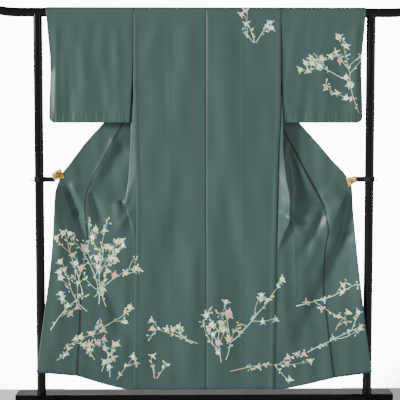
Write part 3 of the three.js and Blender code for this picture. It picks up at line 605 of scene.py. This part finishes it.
def sleeve_piece(side):
    """A sleeve as one tube round the bar, with its turned-in edge behind the back's."""
    columns = np.concatenate([np.linspace(0, 0.9, 60), np.linspace(0.905, 1, 16)])
    grid = np.stack([sleeve_loop(side, across, 60) for across in columns])
    tuck = grid[:1].copy()
    tuck[..., 0] -= side["out"] * ALLOWANCE * 0.7
    tuck[..., 1] -= 0.0024 * np.sign(tuck[..., 1] + 0.007) * (tuck[..., 2] < BAR_Z - 0.004)
    grid = np.concatenate([tuck, grid])
    columns = np.append(0, columns)
    # Painted shade in the armhole seam's groove, and a fainter dark line near the outer edge.
    seam = 0.8 * bell(columns, 0.01) + 0.25 * bell(columns - 0.965, 0.006)
    return shell(f"silk_sleeve_{side['name']}", grid, CLOTH, ring=True, seam=seam[:, None])


COLLAR = {"neck": 0.055, "tip": 0.074, "top": 0.004, "first": 0.2, "last": 0.868, "behind": 0.0034}


def collar_piece():
    """One strip: up one front's edge, behind the neck and down the other front's edge."""
    across = np.linspace(0, 1, 9)

    def half(side):
        rows = []
        for row in np.linspace(COLLAR["last"], COLLAR["first"], 60):
            width = mix(COLLAR["neck"], COLLAR["tip"], smooth(row / COLLAR["last"]))
            slack = 0.004 * smooth((0.5 - row) / 0.3)
            points = np.array([from_edge(side, row, 0.001 + t * width) for t in across])
            points[:, 1] += COLLAR["behind"] + slack
            rows.append(points)
        return rows

    neck = []
    for t in np.linspace(-1, 1, 41):
        lean = 0.9 * t**3
        neck.append(np.stack([
            CENTRE_X + t * 0.128 - math.sin(lean) * COLLAR["neck"] * across,
            np.full(len(across), mix(0.027, 0.034, abs(t))),
            BAR_Z - COLLAR["top"] - 0.072 * abs(t) ** 2.6 - math.cos(lean) * COLLAR["neck"] * across,
        ], axis=-1))
    grid = np.array(half(LEFT) + neck + half(RIGHT)[::-1])
    return shell("silk_collar", grid, COLLAR_CLOTH)


# ---- materials ----


class Nodes:
    """A short way to write a material's node tree."""

    def __init__(self, name):
        self.material = bpy.data.materials.new(name)
        self.material.use_nodes = True
        self.tree = self.material.node_tree
        self.shader = self.tree.nodes["Principled BSDF"]

    def add(self, kind, **inputs):
        node = self.tree.nodes.new(f"ShaderNode{kind}")
        for key, value in inputs.items():
            self.set(node, key, value)
        return node

    def set(self, node, key, value):
        sockets = node.inputs
        socket = sockets[int(key[1:])] if key[0] == "_" else sockets[key.replace("_", " ")]
        if isinstance(value, bpy.types.NodeSocket):
            self.tree.links.new(value, socket)
        else:
            socket.default_value = value

    def coordinates(self):
        return self.add("TexCoord").outputs["Object"]

    def noise(self, vector, scale, detail=3, rough=0.5):
        node = self.add("TexNoise", Vector=vector, Scale=scale, Detail=detail, Roughness=rough)
        return node.outputs["Fac"]

    def math(self, operation, a, b=0.0):
        node = self.add("Math", _0=a, _1=b)
        node.operation = operation
        return node.outputs[0]

    def ramp(self, value, *stops):
        node = self.add("ValToRGB", Fac=value)
        elements = node.color_ramp.elements
        while len(elements) < len(stops):
            elements.new(0.5)
        for element, (position, colour) in zip(elements, stops):
            element.position = position
            element.color = colour if len(colour) == 4 else (*colour, 1)
        return node.outputs["Color"]

    def blend(self, factor, a, b, kind="MIX"):
        node = self.tree.nodes.new("ShaderNodeMix")
        node.data_type = "RGBA"
        node.blend_type = kind
        for socket, value in ((0, factor), (6, a), (7, b)):
            if isinstance(value, bpy.types.NodeSocket):
                self.tree.links.new(value, node.inputs[socket])
            else:
                node.inputs[socket].default_value = value
        return node.outputs[2]

    def bump(self, height, strength, distance):
        bump = self.add("Bump", Strength=strength, Distance=distance, Height=height)
        return bump.outputs["Normal"]

    def finish(self, **inputs):
        for key, value in inputs.items():
            self.set(self.shader, key, value)
        return self.material


def grey(v):
    return (v, v, v, 1)


def painted_material():
    """Dye on the silk, in the colour of each shape, a little worn."""
    n = Nodes("painted_silk")
    place = n.coordinates()
    fine = n.noise(place, 260, 3, 0.6)
    paint = n.add("Attribute")
    paint.attribute_name = "tint"
    brushed = n.noise(place, 320, 4, 0.7)
    worn = n.math("MULTIPLY", brushed, 0.16)
    colour = n.blend(worn, paint.outputs["Color"], (0.62, 0.64, 0.58, 1), "MULTIPLY")
    height = n.math("ADD", fine, n.math("MULTIPLY", brushed, 0.8))
    return n.finish(
        Base_Color=colour, Roughness=n.math("ADD", n.math("MULTIPLY", brushed, 0.25), 0.45),
        Normal=n.bump(height, 0.15, 0.0003), Sheen_Weight=0.05,
    )


def silk_material():
    """Crepe silk: fine warp and weft, slow changes of tone, deeper low down, and painted shade in the seams
    and hollows.
    """
    n = Nodes("kimono_silk")
    place = n.coordinates()
    cloth = n.add("UVMap")
    cloth.uv_map = "cloth"
    slow = n.noise(place, 3.5, 4, 0.55)
    fine = n.noise(place, 260, 3, 0.6)
    tone = n.ramp(slow, (0.3, (0.030, 0.070, 0.064)), (0.72, (0.039, 0.087, 0.079)))
    speckle = n.ramp(fine, (0.3, grey(0.86)), (0.7, grey(1.0)))
    height_up = n.add("SeparateXYZ", Vector=place).outputs["Z"]
    deeper = n.ramp(height_up, (0.1, (0.80, 0.82, 0.85)), (0.95, grey(0.96)))
    colour = n.blend(1.0, n.blend(1.0, tone, speckle, "MULTIPLY"), deeper, "MULTIPLY")
    # Painted shade: the seam attribute darkens the cloth in seam grooves, beside the back's edges and in
    # hollows.
    seam = n.add("Attribute")
    seam.attribute_name = "seam"
    colour = n.blend(n.math("MULTIPLY", seam.outputs["Fac"], 0.96), colour, (0.003, 0.007, 0.006, 1))
    warp = n.add("TexWave", Vector=cloth.outputs["UV"], Scale=420.0, Distortion=1.2, Detail=1.0)
    weft = n.add("TexWave", Vector=cloth.outputs["UV"], Scale=380.0, Distortion=2.0, Detail=1.0)
    weft.bands_direction = "Y"
    weave = n.math("ADD", warp.outputs["Fac"], weft.outputs["Fac"])
    height = n.math("ADD", n.math("MULTIPLY", weave, 0.3), fine)
    rough = n.math("ADD", n.math("MULTIPLY", n.noise(place, 40, 3), 0.12), 0.40)
    return n.finish(
        Base_Color=colour, Roughness=rough, Normal=n.bump(height, 0.22, 0.0004),
        Sheen_Weight=0.12, Sheen_Roughness=0.4, Sheen_Tint=(0.75, 0.92, 0.88, 1), Anisotropic=0.25,
    )


def lacquer_material(name, tone, rough, grain, shine):
    """Black lacquer with faint handling marks and fine dust."""
    n = Nodes(name)
    place = n.coordinates()
    smear = n.noise(place, 9, 5, 0.65)
    dust = n.noise(place, 700, 2, 0.5)
    colour = n.ramp(dust, (0.45, grey(tone)), (0.8, grey(tone * 2.2)))
    return n.finish(
        Base_Color=colour, Roughness=n.math("ADD", n.math("MULTIPLY", smear, 0.14), rough),
        Normal=n.bump(n.noise(place, grain, 2), 0.02, 0.0004), Specular_IOR_Level=shine, IOR=1.45,
    )


def strap_material():
    """Black elastic webbing with fine ribs along it."""
    n = Nodes("strap_webbing")
    place = n.coordinates()
    ribs = n.add("TexWave", Vector=place, Scale=130.0, Distortion=0.6, Detail=1.0)
    ribs.bands_direction = "Z"
    cross = n.add("TexWave", Vector=place, Scale=260.0, Distortion=0.8)
    height = n.math("ADD", ribs.outputs["Fac"], n.math("MULTIPLY", cross.outputs["Fac"], 0.5))
    colour = n.ramp(height, (0.2, (0.003, 0.003, 0.005)), (0.9, (0.014, 0.014, 0.022)))
    bump = n.bump(height, 0.5, 0.0005)
    return n.finish(Base_Color=colour, Roughness=0.75, Normal=bump, Specular_IOR_Level=0.15)


def gold_material():
    """Gilt metal, duller and browner in patches where it has worn."""
    n = Nodes("gilt_metal")
    place = n.coordinates()
    patch = n.noise(place, 55, 3, 0.6)
    colour = n.ramp(
        patch, (0.35, (0.42, 0.16, 0.02)), (0.5, (0.86, 0.55, 0.16)), (0.7, (1.0, 0.80, 0.42)),
    )
    scratch = n.noise(place, 900, 2)
    return n.finish(
        Base_Color=colour, Metallic=1.0, Roughness=n.math("ADD", n.math("MULTIPLY", scratch, 0.2), 0.18),
        Normal=n.bump(n.math("ADD", patch, scratch), 0.2, 0.0006),
    )


def amber_material():
    """A deep amber stone, cloudy inside."""
    n = Nodes("amber_stone")
    place = n.coordinates()
    cloud = n.noise(place, 120, 4, 0.6)
    colour = n.ramp(
        cloud, (0.35, (0.16, 0.05, 0.004)), (0.6, (0.46, 0.20, 0.02)), (0.75, (0.85, 0.55, 0.14)),
    )
    return n.finish(
        Base_Color=colour, Metallic=0.55, Roughness=n.math("ADD", n.math("MULTIPLY", cloud, 0.2), 0.1),
        Normal=n.bump(cloud, 0.15, 0.0006),
    )


silk = silk_material()
painted_silk = painted_material()
lacquer = lacquer_material("stand_lacquer", 0.0012, 0.13, 6, 0.26)
base_black = lacquer_material("base_black", 0.0050, 0.34, 20, 0.02)
strap = strap_material()
gilt = gold_material()
amber = amber_material()


def dress(piece, material):
    piece.data.materials.clear()
    piece.data.materials.append(material)


slots = {part["node"]: part["material_slot"] for part in frame["record"]["subparts"]}
finishes = {"lacquer": lacquer, "base": base_black, "strap": strap, "gold": gilt}
for name, node in frame["nodes"].items():
    finish = finishes.get(slots[name])
    if finish:
        for place in node.material_slots:
            place.material = finish

# ---- ornaments of the clips ----

CLIP_FRONT = -0.0092  # the near plate's outer face


def bead(along, up, radii, turn, rings=8, sides=18):
    """A flattened ellipsoid at a place on a clip's plate, as points in the plate's own directions."""
    points = [(0, 0, radii[2])]
    for i in range(1, rings):
        lat = math.pi * i / rings
        for k in range(sides):
            lon = 2 * math.pi * k / sides
            a, b = radii[0] * math.cos(lon), radii[1] * math.sin(lon)
            points.append((a * math.sin(lat), b * math.sin(lat), radii[2] * math.cos(lat)))
    points.append((0, 0, -radii[2]))
    ct, st = math.cos(turn), math.sin(turn)
    placed = [(along + a * ct - b * st, up + a * st + b * ct, c) for a, b, c in points]
    faces = [(0, 1 + k, 1 + (k + 1) % sides) for k in range(sides)]
    for i in range(rings - 2):
        for k in range(sides):
            a, b = 1 + i * sides + k, 1 + i * sides + (k + 1) % sides
            faces.append((a, a + sides, b + sides, b))
    last = len(points) - 1
    faces += [(last, last - sides + (k + 1) % sides, last - sides + k) for k in range(sides)]
    return placed, faces


def ornament(side, name, beads, material):
    """Beads laid on a clip's near plate, as one piece."""
    grip_x, grip_drop = side["grip"]
    lean = side["lean"]
    vertices, faces = [], []
    for along, up, long, wide, high, turn in zip(*beads.values()):
        points, rings = bead(along, up, (long, wide, high), turn)
        start = len(vertices)
        for a, b, c in points:
            x = CENTRE_X + side["out"] * (grip_x + a * math.cos(lean) + b * math.sin(lean))
            vertices.append((x, CLIP_FRONT - c, BAR_Z - grip_drop - a * math.sin(lean) + b * math.cos(lean)))
        faces += [tuple(start + v for v in f) for f in rings]
    piece = add_mesh(f"{name}_{side['name']}", vertices, faces)
    dress(piece, material)
    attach(piece, "root")


# along is from the jaw outward, up across it, then a bead's half sizes and its turn on the plate.
BEAD_KEYS = "along up long wide high turn"
RAILS = table(BEAD_KEYS, [
    (0.021, 0.017, 0.019, 0.0028, 0.003, -0.12),
    (0.021, -0.017, 0.019, 0.0028, 0.003, 0.12),
    (0.004, 0.000, 0.0026, 0.019, 0.003, 0.0),
    (0.039, 0.000, 0.0026, 0.012, 0.003, 0.0),
])
STONE = table(BEAD_KEYS, [(0.021, 0.000, 0.0135, 0.0125, 0.006, 0.0)])
SHELL = table(BEAD_KEYS, [
    *((0.020, 0.000, 0.019, 0.0055, 0.006, k * 0.42) for k in range(-2, 3)),
    (0.006, 0.000, 0.005, 0.019, 0.004, 0.0),
    (0.036, 0.000, 0.006, 0.009, 0.006, 0.0),
])
ornament(LEFT, "clip_rails", RAILS, gilt)
ornament(LEFT, "clip_stone", STONE, amber)
ornament(RIGHT, "clip_shell", SHELL, gilt)

# ---- build the cloth ----

# Flat cuts, in metres: width and length of what shows, before it was hung.
FLAT = {"body": (0.305, 3.24), "okumi": (0.15, 1.36), "sleeve": (0.345, 0.98), "collar": (0.065, 1.98)}


def hang(piece, node, cut, *rests_on):
    dress(piece, silk)
    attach(piece, "root")
    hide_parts(node)
    return piece


cloth = []
for side in (LEFT, RIGHT):
    name = side["name"]
    cloth.append(hang(body_piece(side), f"body_{name}", FLAT["body"], "stand_bar"))
    cloth.append(hang(okumi_piece(side), f"okumi_{name}", FLAT["okumi"], f"clip_near_{name}"))
    cloth.append(hang(sleeve_piece(side), f"sleeve_{name}", FLAT["sleeve"], "stand_bar"))
cloth.append(hang(collar_piece(), "collar", FLAT["collar"], "clip_near_left", "clip_near_right"))

# ---- the painted pattern ----
# Sprays of plum blossom, chrysanthemum and leaves, as thin shapes laid on the cloth. A spray is drawn
# flat, in the plane of the back (x to the right, drop below the bar), then laid on what it meets.

IVORY = [(0.99, 0.97, 0.84), (0.99, 0.94, 0.70), (0.99, 0.76, 0.46), (0.98, 0.58, 0.46), (0.92, 0.36, 0.26)]
LEAF = [(0.30, 0.68, 0.44), (0.46, 0.80, 0.52), (0.58, 0.74, 0.24), (0.16, 0.46, 0.34), (0.62, 0.88, 0.66)]
BLUE = [(0.16, 0.42, 0.58), (0.34, 0.62, 0.74)]
STEM = [(0.66, 0.82, 0.62), (0.50, 0.68, 0.46), (0.60, 0.46, 0.28)]
HEART = (0.86, 0.40, 0.03)

LAYER_LIFT = 0.00005
PAINT_LIFT = 0.00045
LEAFINESS = 0.20  # how often a leaf stands on each side of each step of a stem
MOST_STEP = 0.006  # a shape that would bridge two layers of cloth is left out

SPRAY_KEYS = "x drop heading length bend branches blossom"
BACK_SPRAYS = table(SPRAY_KEYS, [
    # right sleeve: a bough that climbs from the lower outer corner
    (0.650, 0.420, 116, 0.32, 20, 3, 0.0116),
    (0.628, 0.300, 152, 0.22, 22, 2, 0.0108),
    (0.575, 0.175, 196, 0.12, -24, 1, 0.0099),
    (0.640, 0.360, 178, 0.13, -26, 1, 0.0099),
    # right shoulder: a low tuft
    (0.208, 0.128, 100, 0.12, 18, 1, 0.0099),
    (0.214, 0.128, 66, 0.10, -22, 1, 0.0090),
    (0.204, 0.128, 134, 0.07, -16, 0, 0.0090),
    # left front: boughs that lean together, with low plants at their feet
    (-0.420, 1.240, 118, 0.36, -26, 4, 0.0120),
    (-0.450, 1.230, 84, 0.30, 22, 3, 0.0120),
    (-0.500, 1.260, 140, 0.24, -20, 2, 0.0112),
    (-0.470, 1.200, 42, 0.22, -24, 2, 0.0112),
    (-0.520, 1.180, 104, 0.26, 16, 3, 0.0116),
    (-0.440, 1.330, 20, 0.14, 26, 1, 0.0108),
    (-0.655, 1.340, 62, 0.20, -18, 2, 0.0108),
    (-0.600, 1.420, 40, 0.18, -22, 2, 0.0103),
    (-0.470, 1.470, 118, 0.12, 16, 1, 0.0099),
    (-0.440, 1.520, 74, 0.13, -16, 1, 0.0099),
    (-0.405, 1.545, 96, 0.16, 14, 2, 0.0099),
    (-0.375, 1.555, 64, 0.11, -14, 1, 0.0095),
    (-0.630, 1.470, 30, 0.07, 24, 0, 0.0086),
    # back left: a low tuft and a reaching shoot
    (-0.214, 1.552, 96, 0.09, 14, 0, 0.0090),
    (-0.206, 1.552, 58, 0.07, -20, 0, 0.0086),
    (-0.030, 1.400, 160, 0.20, -22, 2, 0.0103),
    (-0.070, 1.392, 128, 0.10, 26, 1, 0.0095),
    # back right: a knot of flowers, and long boughs that sweep over the right front
    (0.070, 1.480, 98, 0.26, -22, 3, 0.0120),
    (0.090, 1.470, 66, 0.20, 26, 2, 0.0116),
    (0.060, 1.430, 132, 0.14, -20, 1, 0.0108),
    (0.110, 1.395, 30, 0.34, 10, 2, 0.0108),
    (0.390, 1.240, 12, 0.27, 14, 2, 0.0103),
    (0.110, 1.520, 12, 0.34, 18, 2, 0.0103),
    (0.440, 1.440, 34, 0.28, -14, 2, 0.0108),
    (0.560, 1.345, 80, 0.09, -24, 1, 0.0099),
])
FRONT_SPRAYS = table(SPRAY_KEYS, [
    # the far sides of the sleeves: the left sleeve's front carries the larger spray
    (-0.640, 0.430, 62, 0.28, -22, 3, 0.0116),
    (-0.560, 0.420, 84, 0.20, -20, 2, 0.0112),
    (-0.470, 0.430, 100, 0.13, 18, 1, 0.0103),
    (0.400, 0.430, 70, 0.14, 20, 1, 0.0103),
    (0.420, 0.430, 110, 0.11, -16, 1, 0.0095),
])


class Painter:
    """Collects flat coloured shapes, drawn back to front."""

    def __init__(self, seed):
        self.rng = random.Random(seed)
        self.shapes = []

    def shape(self, points, colour):
        self.shapes.append((points, colour))

    def vary(self, colour, amount=0.12):
        k = 1 + self.rng.uniform(-amount, amount)
        return tuple(min(1, c * k) for c in colour)

    def blade(self, x, y, angle, length, width, colour, tip=0.5):
        """A petal or half leaf: a rounded shape from its base, widest at `tip` of its length."""
        ca, sa = math.cos(angle), math.sin(angle)
        profile = [(0, 0.10), (tip * 0.5, 0.72), (tip, 1.0), ((1 + tip) / 2, 0.86), (1, 0.30)]
        outline = [(t * length, w * width / 2) for t, w in profile]
        outline += [(t * length, -w * width / 2) for t, w in reversed(profile)]
        self.shape([(x + u * ca - v * sa, y + u * sa + v * ca) for u, v in outline], colour)

    def disc(self, x, y, radius, colour, sides=8):
        turns = [2 * math.pi * k / sides for k in range(sides)]
        self.shape([(x + radius * math.cos(t), y + radius * math.sin(t)) for t in turns], colour)

    def plum(self, x, y, radius):
        colour = self.rng.choice(IVORY)
        turn = self.rng.uniform(0, 2 * math.pi)
        for k in range(5):
            angle = turn + k * 2 * math.pi / 5
            self.blade(x, y, angle, radius, radius * 0.98, self.vary(colour, 0.05), 0.66)
        for k in range(5):
            angle = turn + (k + 0.5) * 2 * math.pi / 5
            shade = tuple(c * 0.72 for c in colour)
            self.blade(x, y, angle, radius * 0.62, radius * 0.10, shade, 0.5)
        self.disc(x, y, radius * 0.26, HEART)

    def chrysanthemum(self, x, y, radius):
        colour = self.rng.choice(IVORY[:3])
        turn = self.rng.uniform(0, 2 * math.pi)
        for count, reach, tone in ((15, 1.0, 0.86), (11, 0.72, 1.0), (7, 0.45, 1.08)):
            for k in range(count):
                angle = turn + k * 2 * math.pi / count + reach
                length = radius * reach * self.rng.uniform(0.92, 1.05)
                shade = self.vary(tuple(min(1, c * tone) for c in colour), 0.06)
                self.blade(x, y, angle, length, radius * 0.30 * reach**0.5, shade, 0.72)
        self.disc(x, y, radius * 0.16, HEART)

    def bud(self, x, y, angle, radius):
        self.blade(x, y, angle, radius * 0.9, radius * 0.62, self.vary(self.rng.choice(IVORY[2:])), 0.55)
        self.blade(x, y, angle, radius * 0.4, radius * 0.5, self.vary(LEAF[2]), 0.4)

    def leaf(self, x, y, angle, length):
        colour = self.vary(self.rng.choice(LEAF if self.rng.random() < 0.9 else BLUE))
        pale = tuple(min(1, c * 1.25 + 0.03) for c in colour)
        self.blade(x, y, angle, length, length * 0.50, colour, 0.42)
        self.blade(x, y, angle + 0.03, length * 0.94, length * 0.09, pale, 0.35)

    def stem(self, points, wide, thin, colour):
        """A tapering line as a row of short four-sided shapes."""
        last = len(points) - 1
        sides = []
        for i, (x, y) in enumerate(points):
            ahead, behind = points[min(last, i + 1)], points[max(0, i - 1)]
            dx, dy = ahead[0] - behind[0], ahead[1] - behind[1]
            length = math.hypot(dx, dy) or 1
            half = mix(wide, thin, i / last) / 2 / length
            sides.append(((x - dy * half, y + dx * half), (x + dy * half, y - dx * half)))
        for (a, b), (c, d) in zip(sides, sides[1:]):
            self.shape([a, b, d, c], colour)

    def spray(self, x, y, heading, length, bend, branches, blossom, depth=0):
        """A curved stem with leaves on both sides, flowers along it and smaller sprays off it."""
        rng = self.rng
        steps = max(5, round(length / 0.010))
        angle = math.radians(heading)
        turn = math.radians(bend) / steps
        points, headings = [(x, y)], [angle]
        for k in range(steps):
            angle += turn + rng.uniform(-0.09, 0.09)
            x += math.cos(angle) * length / steps
            y += math.sin(angle) * length / steps
            points.append((x, y))
            headings.append(angle)
        wide = 0.0036 if depth == 0 else 0.0024
        self.stem(points, wide, 0.0014, self.vary(rng.choice(STEM)))
        starts = sorted(rng.uniform(0.18, 0.92) for _ in range(int(branches)))
        for k, at in enumerate(starts):
            i = int(at * steps)
            side = 1 if k % 2 else -1
            reach = length * rng.uniform(0.28, 0.46) * (1.15 - at * 0.5)
            aim = math.degrees(headings[i]) + side * rng.uniform(32, 58)
            more = int(branches) - 3 if depth == 0 and branches > 3 else 0
            curl = -side * rng.uniform(10, 34)
            self.spray(*points[i], aim, max(0.035, reach), curl, more, blossom * 0.94, depth + 1)
        for i in range(2, steps + 1):
            for side in (-1, 1):
                if rng.random() < LEAFINESS:
                    aim = headings[i] + side * rng.uniform(0.5, 1.1)
                    self.leaf(*points[i], aim, rng.uniform(0.010, 0.017))
        for i in range(4, steps - 1, 4):
            if rng.random() < 0.5:
                self.cluster(*points[i], headings[i], blossom * rng.uniform(0.75, 1.0))
        self.cluster(*points[-1], headings[-1], blossom * rng.uniform(0.8, 1.0))

    def cluster(self, x, y, heading, radius):
        """A flower on a short side stem, with a few leaves spread round it."""
        rng = self.rng
        side = rng.choice((-1, 1))
        aim = heading + side * rng.uniform(0.3, 1.2)
        reach = radius * rng.uniform(0.4, 1.6)
        fx, fy = x + math.cos(aim) * reach, y + math.sin(aim) * reach
        self.stem([(x, y), ((x + fx) / 2, (y + fy) / 2), (fx, fy)], 0.0020, 0.0014, self.vary(STEM[0]))
        for angle in (aim - 2.0, aim + 2.2, aim + rng.uniform(-0.5, 0.5)):
            angle += rng.uniform(-0.4, 0.4)
            start = radius * 0.85
            lx, ly = fx + math.cos(angle) * start, fy + math.sin(angle) * start
            self.leaf(lx, ly, angle, rng.uniform(0.010, 0.014))
        self.flower(fx, fy, aim, radius * rng.uniform(1.0, 1.15))

    def flower(self, x, y, angle, radius):
        kind = self.rng.random()
        if kind < 0.46:
            self.plum(x, y, radius)
        elif kind < 0.80:
            self.chrysanthemum(x, y, radius)
        else:
            self.bud(x, y, angle + self.rng.uniform(-0.6, 0.6), radius)


def cloth_tree(pieces):
    vertices, faces = [], []
    for piece in pieces:
        start = len(vertices)
        vertices += [v.co.copy() for v in piece.data.vertices]
        faces += [[start + v for v in p.vertices] for p in piece.data.polygons]
    return BVHTree.FromPolygons(vertices, faces)


def lay_on(name, painter, tree, toward):
    """Lays a painter's flat shapes on the cloth met by lines that run along Y in the sense `toward`."""
    vertices, faces, colours = [], [], []
    ray = Vector((0, toward, 0))
    for order, (points, colour) in enumerate(painter.shapes):
        placed = []
        for x, y in points:
            hit, normal, _, _ = tree.ray_cast(Vector((x, -toward, BAR_Z + y)), ray)
            if hit is None:
                break
            if normal.y * toward > 0:
                normal = -normal
            if abs(normal.y) < 0.3:
                break
            placed.append(hit + normal * (PAINT_LIFT + LAYER_LIFT * (order % 8)))
        depths = [p.y for p in placed]
        if len(placed) < len(points) or max(depths) - min(depths) > MOST_STEP:
            continue
        faces.append(list(range(len(vertices), len(vertices) + len(placed))))
        vertices += placed
        colours += [(*colour, 1)] * len(placed)
    piece = add_mesh(name, vertices, faces)
    layer = piece.data.attributes.new("tint", "FLOAT_COLOR", "POINT")
    layer.data.foreach_set("color", np.array(colours, np.float32).ravel())
    dress(piece, painted_silk)
    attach(piece, "root")


def paint(name, sprays, seed, tree, toward):
    painter = Painter(seed)
    for x, drop, *rest in zip(*sprays.values()):
        painter.spray(x, -drop, *rest)
    lay_on(name, painter, tree, toward)


tree = cloth_tree(cloth)
paint("pattern_back", BACK_SPRAYS, 7, tree, 1)
paint("pattern_front", FRONT_SPRAYS, 23, tree, -1)

# ---- stage, light and camera ----

FLOOR = {"side": 9.0, "near": -9.0, "far": 0.3}


def floor():
    n = Nodes("studio_floor")
    tone = n.ramp(n.noise(n.coordinates(), 2.0), (0.4, grey(0.90)), (0.6, grey(0.94)))
    material = n.finish(Base_Color=tone, Roughness=0.7)
    side, near, far = FLOOR["side"], FLOOR["near"], FLOOR["far"]
    corners = [(-side, near, 0), (side, near, 0), (side, far, 0), (-side, far, 0)]
    piece = add_mesh("floor", corners, [(0, 1, 2, 3)])
    dress(piece, material)


def sunlight(name, toward, strength, spread):
    """A far, even light that comes from the direction `toward`, as wide as `spread` degrees."""
    light = bpy.data.lights.new(name, "SUN")
    light.energy = strength
    light.angle = math.radians(spread)
    lamp = bpy.data.objects.new(name, light)
    bpy.context.scene.collection.objects.link(lamp)
    lamp.rotation_euler = Vector(toward).to_track_quat("Z", "Y").to_euler()


CAMERA = {"place": (-0.072, -3.817, base_high[2] + 1.074), "pan": -0.78, "tilt": -3.57, "lens": 81}


def camera():
    pan, tilt = math.radians(CAMERA["pan"]), math.radians(CAMERA["tilt"])
    ahead = Vector((-math.sin(pan) * math.cos(tilt), math.cos(pan) * math.cos(tilt), math.sin(tilt)))
    data = bpy.data.cameras.new("camera")
    data.lens = CAMERA["lens"]
    data.sensor_width = 36
    view = bpy.data.objects.new("camera", data)
    bpy.context.scene.collection.objects.link(view)
    view.location = CAMERA["place"]
    view.rotation_euler = ahead.to_track_quat("-Z", "Y").to_euler()
    bpy.context.scene.camera = view


SKY = {"room": 0.16, "ground": 0.42, "backdrop": 12.0}


def world():
    """A dim room over a pale ground, with a bright backdrop in a narrow cone behind the stand."""
    sky = bpy.data.worlds.new("studio")
    sky.use_nodes = True
    tree = sky.node_tree
    background = tree.nodes["Background"]
    split = tree.nodes.new("ShaderNodeSeparateXYZ")
    tree.links.new(tree.nodes.new("ShaderNodeTexCoord").outputs["Generated"], split.inputs[0])

    def ramp(axis, start, end, low, high):
        node = tree.nodes.new("ShaderNodeMapRange")
        node.interpolation_type = "SMOOTHSTEP"
        for key, value in (("From Min", start), ("From Max", end), ("To Min", low), ("To Max", high)):
            node.inputs[key].default_value = value
        tree.links.new(split.outputs[axis], node.inputs["Value"])
        return node.outputs[0]

    def join(operation, a, b):
        node = tree.nodes.new("ShaderNodeMath")
        node.operation = operation
        tree.links.new(a, node.inputs[0])
        tree.links.new(b, node.inputs[1])
        return node.outputs[0]

    around = ramp("Z", -0.02, 0.0, SKY["ground"], SKY["room"])
    cone = join("MULTIPLY", ramp("Y", 0.93, 0.952, 0.0, SKY["backdrop"]), ramp("Z", 0.17, 0.21, 1.0, 0.0))
    tree.links.new(join("ADD", around, cone), background.inputs["Strength"])
    background.inputs["Color"].default_value = (1, 1, 1, 1)
    bpy.context.scene.world = sky


floor()
camera()
world()
sunlight("key", (-0.92, -0.34, 0.30), 6.8, 14)
sunlight("fill", (0.86, -0.50, 0.20), 0.75, 40)
sunlight("rear", (0.80, 0.52, 0.30), 0.6, 40)
sunlight("front", (-0.10, -0.90, 0.42), 0.55, 70)
